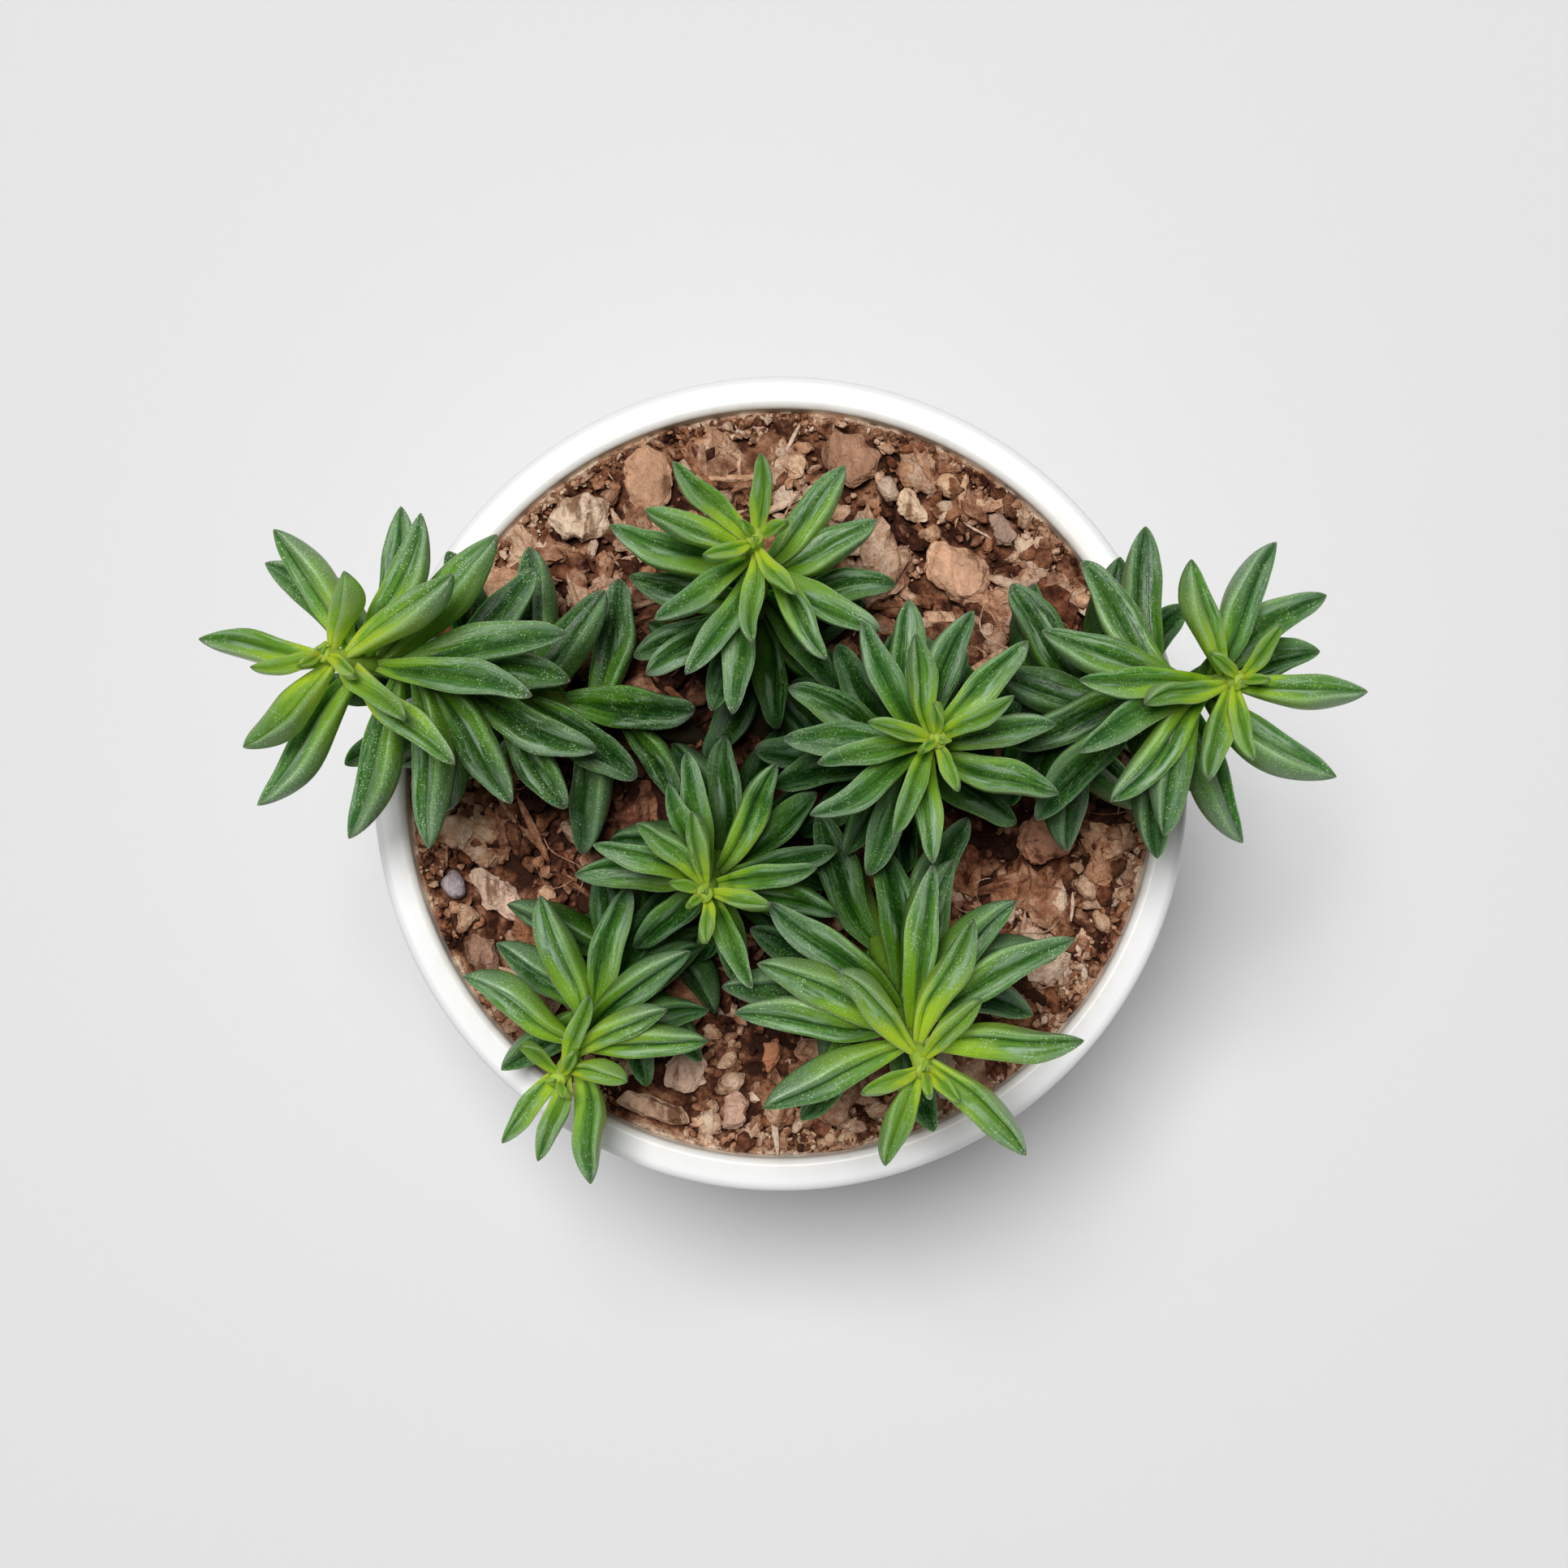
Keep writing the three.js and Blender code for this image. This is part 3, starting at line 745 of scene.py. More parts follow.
def leaf_skin(leaf, rng):
    wave = rng.uniform(0, 2 * math.pi)
    tint = rng.random()
    sickle = rng.uniform(-SICKLE, SICKLE)
    uneven = rng.uniform(-UNEVENNESS, UNEVENNESS)
    swerve = rng.uniform(-SWERVE, SWERVE)
    bias = rng.choice((-1, 1)) * rng.uniform(LEAST_BIAS, 1)
    arch = rng.uniform(-ARCH, ARCH)
    twist = math.radians(rng.uniform(-TWIST, TWIST))
    bend = LEAF_WIDTH * min(1, leaf["length"] / LEAF_LENGTH) ** BEND_POWER
    blunt = TIP_FULLNESS * min(1, leaf["age"] / FULL_TIP_AGE)
    fold_share = SHALLOW_FOLD + FOLD_RANGE * (7.3 * tint % 1)
    shares = LEAF_START + LEAF_SPAN * (1 - np.linspace(1, 0, RING_COUNT) ** TIP_CROWDING)
    points = []
    for share in shares:
        point, level, upright = leaf_frame(leaf, share)
        turn = twist * share
        side = level * math.cos(turn) + upright * math.sin(turn)
        normal = upright * math.cos(turn) - level * math.sin(turn)
        half = half_width(leaf, share) * (1 + blunt * max(0, share - TIP_START) / TIP_SPAN)
        shift = FOLD_SHIFT * bias * min(1, 3 * share) * (1 - ACROSS ** 2)
        ripple = 1 + RIPPLE * np.sin(RIPPLE_TURN * share + wave + RIPPLE_OFFSET * np.sign(ACROSS)) * min(1, 2 * share)
        ripple = ripple * (1 + uneven * np.sign(ACROSS))
        sway = bend * (sickle * (math.sin(math.pi * share) - 0.5 * share) + swerve * math.sin(2 * math.pi * share))
        point = point + bend * arch * math.sin(1.5 * math.pi * share) * upright
        fold = fold_share * min(1, share / FOLD_OPENS) * min(1, (1 - share) / FOLD_CLOSES)
        sunk = np.where(DOWN > 0, DEPTH, DEPTH * fold) * leaf_depth(leaf, share)
        points.append(point + np.outer((ACROSS - shift) * half * ripple + sway, side) - np.outer(sunk, normal))
    sampled = np.linspace(0.1, 1, LIGHT_STEPS)
    frames = [leaf_frame(leaf, share) for share in sampled]
    lights = [openness(*(spot + LIGHT_LIFT * normal)) for spot, _, normal in frames]
    values = dict(along=np.repeat(shares, RING_POINTS), across=np.tile(ACROSS, RING_COUNT),
                  down=np.tile(DOWN, RING_COUNT), light=np.repeat(np.interp(shares, sampled, lights), RING_POINTS))
    whole = dict(age=leaf["age"] / OLD_AGE, tint=tint, bias=bias, sunny=SUNNY[leaf["shoot"]["name"]])
    values.update({key: np.full(RING_COUNT * RING_POINTS, number) for key, number in whole.items()})
    return np.vstack(points), values


print("points on one leaf:", RING_COUNT * RING_POINTS)

# %% [markdown]
# ## Stems, and shoots put together
#
# A stem is a slim tube along the shoot's curve, with slight knots, and it goes on below the soil as its solid
# does. A shoot is one mesh: its stem, and a closed skin for each leaf that grows on it. The stem's age value is -1,
# which tells the material that it isn't a leaf.

# %% Stems and shoots
STEM_SIDES = 20
STEM_ROWS = 90
BURIED_ROWS = 12
KNOTS = ((0.035, 1.7), (0.02, 0.6))
STEM_VALUES = dict(across=0, down=0.5, light=0.3, age=-1, tint=0.5, bias=0, sunny=0)


def stem_skin(shoot):
    points = stem_points(shoot)
    foot = points[0]
    bend = foot - curve_direction(points, 0) * STEM_BEND
    buried = np.array([bend[0], bend[1], SOIL_TOP - STEM_DEPTH]), bend, foot
    angles = np.arange(STEM_SIDES) / STEM_SIDES * 2 * math.pi
    skin, height = [], []
    for row in range(BURIED_ROWS + STEM_ROWS):
        path, share, grown = buried, row / BURIED_ROWS, 0
        if row >= BURIED_ROWS:
            path, share = points, (row - BURIED_ROWS) / (STEM_ROWS - 1)
            grown = share
        direction = curve_direction(path, share)
        level = unit(np.cross((0, 1, 0), direction))
        across = np.cross(direction, level)
        radius = STEM_FOOT_RADIUS + (STEM_TIP_RADIUS - STEM_FOOT_RADIUS) * grown
        radius *= 1 + sum(rise * math.sin(row * pace) for rise, pace in KNOTS)
        circle = np.outer(np.cos(angles), level) + np.outer(np.sin(angles), across)
        skin.append(on_curve(path, share) + radius * circle)
        height += [grown] * STEM_SIDES
    return np.vstack(skin), np.array(height)


def shoot_mesh(shoot, rng):
    points, height = stem_skin(shoot)
    total = len(points)
    skins, faces = [points], closed_tube(BURIED_ROWS + STEM_ROWS, STEM_SIDES)
    parts = [dict({key: np.full(total, float(number)) for key, number in STEM_VALUES.items()}, along=height)]
    for leaf in leaves:
        if leaf["shoot"] is shoot:
            spots, values = leaf_skin(leaf, rng)
            faces += closed_tube(RING_COUNT, RING_POINTS, total)
            skins.append(spots)
            parts.append(values)
            total += len(spots)
    return np.vstack(skins), faces, {key: np.concatenate([part[key] for part in parts]) for key in parts[0]}


print("points on one stem:", len(stem_skin(SHOOTS[0])[0]))

# %% [markdown]
# ## Leaf colours
#
# The upper side of a leaf is a clear, dark "window", its flanks are lime near the stem and mid green towards the
# tip, and the two meet in soft tongues. Three families of green hold this: the flank's green, its lime, and the
# window. Each family has a young, an old and a sunlit form. Colours are linear, as the shader takes them.

# %% Leaf colours
GREEN, FRESH_GREEN = (0.068, 0.218, 0.020), (0.150, 0.335, 0.044)
YOUNG_GREEN, OLD_GREEN, SUNLIT_GREEN = (0.290, 0.490, 0.036), (0.042, 0.135, 0.012), (0.420, 0.610, 0.036)
LIME = (0.275, 0.470, 0.014)
YOUNG_LIME, OLD_LIME, SUNLIT_LIME = (0.500, 0.700, 0.024), (0.085, 0.235, 0.006), (0.660, 0.770, 0.020)
WINDOW = (0.024, 0.118, 0.022)
YOUNG_WINDOW, OLD_WINDOW, SUNLIT_WINDOW = (0.140, 0.340, 0.045), (0.007, 0.050, 0.006), (0.280, 0.480, 0.030)
# The streak colour is a painted sheen, and the fold colour is painted shade in the crease.
PALE_VEIN, PAINTED_SHEEN, FOLD_SHADE = (0.330, 0.530, 0.120), (0.440, 0.590, 0.420), (0.014, 0.085, 0.012)
TIPWARD_GREEN, TIP_GREY = (0.026, 0.095, 0.032), (0.085, 0.095, 0.065)
MARGIN_GREEN, FROST_GREEN = (0.400, 0.560, 0.290), (0.300, 0.410, 0.290)
MOTTLE_GREEN, DUST_GREEN, DOT_GREEN = (0.220, 0.430, 0.060), (0.280, 0.480, 0.150), (0.640, 0.770, 0.580)
SHADE_GREEN = (0.003, 0.018, 0.002)
STEM_BROWN, STEM_GREEN, STEM_LIME = (0.060, 0.050, 0.025), (0.120, 0.230, 0.022), (0.400, 0.600, 0.080)


def aged(tree, leaf, grown, young, old, sunlit, strength):
    colour = blend(tree, leaf.youth, grown, young)
    colour = blend(tree, leaf.elder, colour, old)
    return blend(tree, times(tree, leaf.heart, strength), colour, sunlit)


print("green of a grown leaf:", GREEN, "to", FRESH_GREEN)

# %% [markdown]
# ## Leaf patterns
#
# All patterns start from the values stored on the mesh, not from where the camera stands, so they stay on the leaf
# in every view and in the export. The grain and the veins are noise drawn out along the blade. The tint shifts the
# noise, so that no two leaves repeat. Leaves at the heart of a sunny shoot count as young and as well lit.

# %% Leaf patterns
GRAIN_STRETCH = (3.4, 3.0, 0.55)
VEIN_STRETCH = (2.2, 6.0, 0.6)
TINT_SPREAD = 40
MOTTLE_SCALE = 420
STIPPLE_SCALE = 2600
DOT_SCALE = 2900
LEAST_SUN = 0.58


def along_blade(tree, leaf, lengthwise, sideways, rough):
    spot = joined(tree, times(tree, leaf.along, lengthwise), times(tree, leaf.across, sideways),
                  times(tree, leaf.tint, TINT_SPREAD))
    return noise_value(tree, spot, 1.0, 4, rough)


def leaf_patterns(tree):
    keys = ("along", "across", "down", "light", "age", "tint", "bias", "sunny")
    leaf = SimpleNamespace(**{key: stored(tree, key) for key in keys})
    leaf.aside = math_node(tree, "ABSOLUTE", leaf.across)
    leaf.grain = along_blade(tree, leaf, *GRAIN_STRETCH)
    leaf.veins = along_blade(tree, leaf, *VEIN_STRETCH)
    leaf.mottle = noise_value(tree, place(tree), MOTTLE_SCALE, 3)
    leaf.stipple = noise_value(tree, place(tree), STIPPLE_SCALE, 2)
    leaf.reach = plus(tree, leaf.along, swing(tree, leaf.grain, 0.55), swing(tree, leaf.tint, -0.25))
    return leaf


def leaf_ages(tree, leaf):
    young = ramp(tree, leaf.age, 0.28, 0.0)
    warmed = times(tree, leaf.sunny, ramp(tree, leaf.along, 0.95, 0.15), ramp(tree, leaf.age, 0.55, 0.15))
    leaf.youth = most(tree, young, warmed)
    leaf.elder = ramp(tree, leaf.age, 0.33, 0.85)
    leaf.heart = times(tree, leaf.sunny, ramp(tree, leaf.age, 0.38, 0.08))
    leaf.past_bud = less(tree, 1.0, young)
    leaf.grown = less(tree, 1.0, times(tree, young, 0.8))
    glow = times(tree, ramp(tree, leaf.along, 0.55, 0.05), ramp(tree, leaf.age, 0.55, 0.15, 0.0, 0.88))
    lit = ramp(tree, leaf.youth, 0.0, 0.6, 0.0, 0.95)
    leaf.light = most(tree, leaf.light, glow, lit, times(tree, leaf.sunny, LEAST_SUN))


print("leaf patterns: grain", GRAIN_STRETCH, "veins", VEIN_STRETCH)

# %% [markdown]
# ## Leaf skin, from the body colour to the bloom
#
# The skin is painted in layers, as a botanical painter would: first the lime and green flanks, then the dark window
# with pale streaks of painted sheen along the lobes, painted shade deepening the fold, the darker tip with its grey
# point, and the pale margin with a frosted rim. Mottling, a fine dust and small pale specks come last.

# %% Leaf layers
def leaf_body(tree, leaf):
    grown = blend(tree, leaf.tint, GREEN, FRESH_GREEN)
    green = aged(tree, leaf, grown, YOUNG_GREEN, OLD_GREEN, SUNLIT_GREEN, 0.45)
    lime = aged(tree, leaf, LIME, YOUNG_LIME, OLD_LIME, SUNLIT_LIME, 1.0)
    dark = aged(tree, leaf, WINDOW, YOUNG_WINDOW, OLD_WINDOW, SUNLIT_WINDOW, 0.60)
    flank = blend(tree, ramp(tree, leaf.reach, 0.0, 0.84), lime, green)
    flank = blend(tree, ramp(tree, leaf.veins, 0.40, 0.75, 0.0, 0.35), flank, PALE_VEIN)
    window = blend(tree, ramp(tree, leaf.veins, 0.30, 0.70), dark, green)
    # Painted sheen: pale streaks along the lobes stand in for the gloss of the waxy window.
    sheen_mask = times(tree, ramp(tree, leaf.aside, 0.10, 0.38), ramp(tree, leaf.aside, 0.95, 0.60),
                   ramp(tree, leaf.grain, 0.44, 0.64), ramp(tree, leaf.along, 0.10, 0.45),
                   ramp(tree, leaf.youth, 0.3, 1.0, 0.74, 0.30), ramp(tree, leaf.tint, 0.1, 0.7, 0.45, 1.0))
    window = blend(tree, sheen_mask, window, PAINTED_SHEEN)
    lean = times(tree, leaf.across, leaf.bias, 0.55)
    spread = less(tree, ramp(tree, leaf.reach, 0.08, 0.66, 0.06, 1.10), lean)
    colour = blend(tree, ramp(tree, less(tree, leaf.aside, spread), -0.36, 0.22), window, flank)
    # Painted shade: the fold's crease is painted darker, most at its middle.
    crease_shade = times(tree, ramp(tree, leaf.aside, 0.11, 0.0), ramp(tree, leaf.grain, 0.30, 0.60, 1.0, 0.55),
                   ramp(tree, leaf.youth, 0.2, 1.0, 0.72, 0.40))
    colour = blend(tree, crease_shade, colour, FOLD_SHADE)
    return blend(tree, ramp(tree, leaf.down, 0.0, 0.20), colour, flank)


def leaf_edges(tree, leaf, colour):
    tipward = times(tree, ramp(tree, leaf.reach, 0.55, 1.05, 0.0, 0.60), leaf.past_bud)
    colour = blend(tree, tipward, colour, TIPWARD_GREEN)
    margin = times(tree, ramp(tree, leaf.aside, 0.90, 0.97), ramp(tree, leaf.down, 0.20, 0.04),
                   ramp(tree, leaf.elder, 1.0, 0.0, 0.22, 0.44))
    colour = blend(tree, margin, colour, MARGIN_GREEN)
    frost = times(tree, ramp(tree, leaf.aside, 0.45, 0.92), ramp(tree, leaf.reach, 0.30, 0.95, 0.0, 0.46), leaf.grown)
    return blend(tree, frost, colour, FROST_GREEN)


def leaf_dots(tree, leaf):
    cells = tree.nodes.new("ShaderNodeTexVoronoi")
    cells.inputs["Scale"].default_value = DOT_SCALE
    tree.links.new(place(tree), cells.inputs["Vector"])
    patches = most(tree, ramp(tree, leaf.mottle, 0.40, 0.60), ramp(tree, leaf.aside, 0.70, 0.95))
    return times(tree, ramp(tree, cells.outputs["Distance"], 0.34, 0.14), patches)


def leaf_bloom(tree, leaf, colour, dots):
    colour = blend(tree, ramp(tree, leaf.mottle, 0.42, 0.80, 0, 0.20), colour, MOTTLE_GREEN)
    dust = times(tree, ramp(tree, leaf.stipple, 0.48, 0.72, 0, 0.22), leaf.grown)
    colour = blend(tree, dust, colour, DUST_GREEN)
    colour = blend(tree, ramp(tree, leaf.along, 0.91, 1.0, 0, 0.8), colour, TIP_GREY)
    lit = plus(tree, ramp(tree, leaf.light, 0.55, 0.95, 0.25, 0.55), times(tree, leaf.sunny, 0.4))
    return blend(tree, times(tree, dots, lit, leaf.grown), colour, DOT_GREEN)


print("leaf layers: body, edges, bloom")

# %% [markdown]
# ## Leaf material
#
# Light passes into these fleshy leaves and comes out greener, which is what subsurface scattering does. Leaves that
# see little sky get painted shade, a deeper and darker green, and they lose their gloss, as does the fold. Grain,
# veins and specks also drive a fine bump. The stem takes its own brown to lime by its height.

# %% Leaf material
LEAF_SCATTER = (0.35, 1.0, 0.1)


def leaf_material():
    material, tree, shader = new_material("leaf_skin", Subsurface_Weight=0.40, Subsurface_Scale=0.004)
    shader.inputs["Subsurface Radius"].default_value = LEAF_SCATTER
    leaf = leaf_patterns(tree)
    leaf_ages(tree, leaf)
    dots = leaf_dots(tree, leaf)
    colour = leaf_bloom(tree, leaf, leaf_edges(tree, leaf, leaf_body(tree, leaf)), dots)
    # Painted shade: the less sky a place sees, the deeper and darker its green.
    colour = deepen(tree, colour, ramp(tree, leaf.light, 0.12, 0.88, 1.50, 1.0))
    colour = blend(tree, ramp(tree, leaf.light, 0.08, 0.78, 0.80, 0.0), colour, SHADE_GREEN)
    bark = blend(tree, ramp(tree, leaf.along, 0.02, 0.45), STEM_BROWN, STEM_GREEN)
    bark = blend(tree, ramp(tree, leaf.along, 0.80, 0.98), bark, STEM_LIME)
    colour = blend(tree, ramp(tree, leaf.age, -0.02, -0.5), colour, bark)
    tree.links.new(colour, shader.inputs["Base Color"])
    tree.links.new(ramp(tree, leaf.grain, 0.3, 0.7, 0.28, 0.42), shader.inputs["Roughness"])
    gloss = times(tree, ramp(tree, leaf.light, 0.10, 0.80, 0.03, 0.40), ramp(tree, leaf.aside, 0.02, 0.22, 0.10, 1.0))
    tree.links.new(gloss, shader.inputs["Specular IOR Level"])
    relief = plus(tree, leaf.grain, times(tree, leaf.veins, 0.5), times(tree, dots, 0.3))
    bump(tree, shader, relief, 0.5, 0.0005)
    return material


leaf_skin_material = leaf_material()
leaf_rng = random.Random(5)
for shoot in SHOOTS:
    points, faces, values = shoot_mesh(shoot, leaf_rng)
    piece = make_object(shoot["name"] + "_leaves", points, faces, leaf_skin_material, values)
    dress(piece, "leaf", shoot["name"])
    print(piece.name, len(faces), "faces")

# %% [markdown]
# ## The pot's form
#
# The pot is a profile turned about the Z axis, as on a potter's wheel: flat base, tapering wall, rolled lip and
# a floor with five drain holes. Turning a profile suits it better than a ready-made cylinder, because the lip's
# small rounds catch the light in the photo. A Boolean modifier cuts the holes, as a potter's punch does.

# %% Pot form
POT_SIDES = 180
DRILL_SIDES = 32
DRILL_PAST = 3
ROUND_SHARE = 0.7
WALL_SLOPE = (RIM_RADIUS - LIP_WIDTH - BASE_RADIUS + WALL) / (POT_HEIGHT - FLOOR)


def inner_radius(height):
    return BASE_RADIUS - WALL + WALL_SLOPE * (height - FLOOR)


def arc(centre, radius, start, end, steps):
    angles = [math.radians(start + (end - start) * step / steps) for step in range(steps + 1)]
    return [(centre[0] + radius * math.cos(angle), centre[1] + radius * math.sin(angle)) for angle in angles]


def pot_profile():
    under_lip = POT_HEIGHT - LIP_HEIGHT
    edge = ROUND_SHARE * LIP_OUTER_ROUND
    outer = arc((RIM_RADIUS - edge, POT_HEIGHT - edge), edge, -20, 90, 10)
    edge = ROUND_SHARE * LIP_INNER_ROUND
    inner = arc((RIM_RADIUS - LIP_WIDTH + edge, POT_HEIGHT - edge), edge, 90, 180, 8)
    foot = arc((BASE_RADIUS - BASE_CHAMFER, BASE_CHAMFER), BASE_CHAMFER, -90, 0, 6)
    cove = [(inner_radius(FLOOR + FLOOR_COVE), FLOOR + FLOOR_COVE), (inner_radius(FLOOR) - FLOOR_COVE, FLOOR)]
    return foot + [(inner_radius(under_lip) + WALL, under_lip)] + outer + inner + cove


def turned(profile, sides):
    points = [(radius * math.cos(2 * math.pi * side / sides), radius * math.sin(2 * math.pi * side / sides), height)
              for radius, height in profile for side in range(sides)]
    return points, turned_over(closed_tube(len(profile), sides))


def drill_holes(pot):
    points, faces = turned([(DRAIN_RADIUS, -DRILL_PAST), (DRAIN_RADIUS, FLOOR + DRILL_PAST)], DRILL_SIDES)
    for hole in range(DRAIN_COUNT):
        angle = 2 * math.pi * hole / DRAIN_COUNT
        shift = DRAIN_RING * math.cos(angle), DRAIN_RING * math.sin(angle), 0
        drill = make_object("drill", np.add(points, shift), faces, pot.data.materials[0])
        cut = pot.modifiers.new("hole", "BOOLEAN")
        cut.object = drill
        cut.operation = "DIFFERENCE"
        bpy.context.view_layer.objects.active = pot
        bpy.ops.object.modifier_apply(modifier=cut.name)
        bpy.data.objects.remove(drill)


print("points in the pot's profile:", len(pot_profile()))

# %% [markdown]
# ## The pot's glaze
#
# The glaze is almost white and softly glossy. Inside, just above the soil, watering has left a warm stain with a
# few brown flecks. The shader finds the inside by how far a point stands from the axis for its height, so it needs
# no painted map.

# %% Pot glaze
GLAZE_WHITE, GLAZE_SHADE = (0.940, 0.945, 0.943), (0.925, 0.935, 0.940)
STAIN_CREAM, FLECK_BROWN = (0.900, 0.840, 0.770), (0.480, 0.350, 0.250)
STAIN_SIDES = (0.0356, 0.0334)
STAIN_HEIGHTS = (0.0890, 0.0856)


def glaze_material():
    material, tree, shader = new_material("white_glaze", Roughness=0.34, Specular_IOR_Level=0.35)
    spot = tree.nodes.new("ShaderNodeSeparateXYZ")
    tree.links.new(place(tree), spot.inputs[0])
    x, y, z = spot.outputs
    reach = math_node(tree, "SQRT", plus(tree, times(tree, x, x), times(tree, y, y)))
    soft = noise_value(tree, place(tree), 90, 4)
    wander = noise_value(tree, place(tree), 45, 3)
    height = plus(tree, z, times(tree, soft, -0.0016), swing(tree, wander, 0.0040))
    inside = ramp(tree, less(tree, reach, times(tree, z, WALL_SLOPE)), *STAIN_SIDES)
    stain = times(tree, inside, ramp(tree, height, *STAIN_HEIGHTS))
    fleck = ramp(tree, noise_value(tree, place(tree), 420, 4), 0.45, 0.72)
    colour = blend(tree, ramp(tree, soft, 0.35, 0.75, 0, 0.25), GLAZE_WHITE, GLAZE_SHADE)
    colour = blend(tree, times(tree, stain, 0.80), colour, STAIN_CREAM)
    colour = blend(tree, times(tree, stain, fleck, 0.25), colour, FLECK_BROWN)
    tree.links.new(colour, shader.inputs["Base Color"])
    bump(tree, shader, soft, 0.08, 0.0004)
    return material


pot_points, pot_faces = turned(pot_profile(), POT_SIDES)
pot = make_object("pot_glazed", pot_points, pot_faces, glaze_material())
drill_holes(pot)
for face in pot.data.polygons:
    face.use_smooth = abs(face.normal.z) < 0.999
dress(pot, "pot_glaze", "pot")
print("pot faces:", len(pot.data.polygons))

# %% [markdown]
# ## The soil's body
#
# Potting mix is a heap of bark, coir and humus. Its body here follows the relief of its CAD solid, roughened with
# fractal noise, and rises in a small bank against the pot's wall. Each point stores a tone: higher on bumps, on the
# bank and at the dusty edge, lifted by painted light towards the back, on the lamp's side, and as much towards the
# front, and lowered by painted shade where little sky reaches under the leaves. Noise adds broad patches of dark
# humus.

# %% Soil body
SOIL_SIDES = 300
SOIL_RINGS = 100
SOIL_SINK = 1.6
SOIL_ROUGHNESS = 0.9
BANK_HEIGHT = 1.8
BANK_WIDTH = 2.2
DUST_WIDTH = 1.4
ROUGH_SCALE = 0.55
PATCH_SCALE = 0.3
HUMUS_SCALE = 0.17
HUMUS_DEPTH = 0.9
SHADE_BELOW, SHADE_SPAN = 0.12, 0.5
# Painted light: the soil's tone rises towards the back and the front of the pot.
BACK_FRONT_LIGHT = 0.12
SOIL_TONE, ROUGH_TONE, RAISED_TONE, DUST_TONE, SHADE_TONE = 0.14, 0.36, 0.12, 0.9, 0.2
BURIED_TONE = 0.1


# Painted shade: the less sky a place under the leaves sees, the darker its tone.
def painted_shade(x, y):
    return 1 - min(1, max(0, (soil_openness(x, y) - SHADE_BELOW) / SHADE_SPAN))


# Painted light lifts the tone towards the back, on the lamp's side, and as much towards the front; noise lays darker
# patches of real humus.
def light_and_humus(x, y):
    humus = noise.noise(Vector((HUMUS_SCALE * x, HUMUS_SCALE * y, 4)))
    return BACK_FRONT_LIGHT * abs(y) / RIM_RADIUS - HUMUS_DEPTH * max(0, humus)


def soil_height(x, y):
    return SOIL_TOP + SOIL_RELIEF * (math.sin(0.52 * x + 1) * math.cos(0.47 * y - 0.5)
                                     + 0.8 * math.sin(0.23 * x - 0.31 * y + 2))


def bank(inward):
    return BANK_HEIGHT * max(0, 1 - inward / BANK_WIDTH) ** 2


def soil_body():
    edge = inner_radius(SOIL_TOP)
    points, tone = [], []
    turns = [2 * math.pi * side / SOIL_SIDES for side in range(SOIL_SIDES)]
    for ring in range(SOIL_RINGS + 1):
        radius = edge * (ring + 0.4) / (SOIL_RINGS + 0.4)
        raised = bank(edge - radius)
        for angle in turns:
            x, y = radius * math.cos(angle), radius * math.sin(angle)
            rough = noise.fractal(Vector((ROUGH_SCALE * x, ROUGH_SCALE * y, 3)), 0.8, 2.1, 5)
            points.append((x, y, soil_height(x, y) - SOIL_SINK + raised + SOIL_ROUGHNESS * rough))
            patchy = 0.5 + noise.noise(Vector((PATCH_SCALE * x, PATCH_SCALE * y, 8)))
            dust = max(0, 1 - (edge - radius) / DUST_WIDTH) * patchy
            # The tone takes painted light towards the back and front, and painted shade under the leaves.
            tone.append(SOIL_TONE + ROUGH_TONE * rough + RAISED_TONE * raised + DUST_TONE * dust + light_and_humus(x, y)
                        - SHADE_TONE * painted_shade(x, y))
    low = FLOOR + FLOOR_COVE
    for radius, height in ((inner_radius(low) - SOIL_GAP, low), (inner_radius(FLOOR) - FLOOR_COVE, FLOOR)):
        points += [(radius * math.cos(angle), radius * math.sin(angle), height + SOIL_GAP) for angle in turns]
        tone += [BURIED_TONE] * SOIL_SIDES
    return points, closed_tube(SOIL_RINGS + 3, SOIL_SIDES), dict(tone=tone, warm=[0.5] * len(tone))


print("bank of soil at the wall:", bank(0), "mm high")

# %% [markdown]
# ## Soil material
#
# One material serves the soil's body and all its loose grains. A colour ramp turns the stored tone, stirred with
# coarse noise, into a colour from near-black humus to pale tan bark. A second stored value makes some grains redder
# than others, and fine dark noise stands for damp specks.

# %% Soil material
SOIL_TONES = [(0.0, (0.040, 0.012, 0.005)), (0.20, (0.145, 0.053, 0.026)), (0.40, (0.340, 0.162, 0.090)),
              (0.60, (0.530, 0.315, 0.205)), (0.80, (0.720, 0.510, 0.370)), (1.0, (0.880, 0.720, 0.570))]
COOL_BARK, WARM_BARK = (1.000, 1.000, 1.000), (1.000, 0.800, 0.640)
DAMP_BROWN = (0.060, 0.022, 0.012)


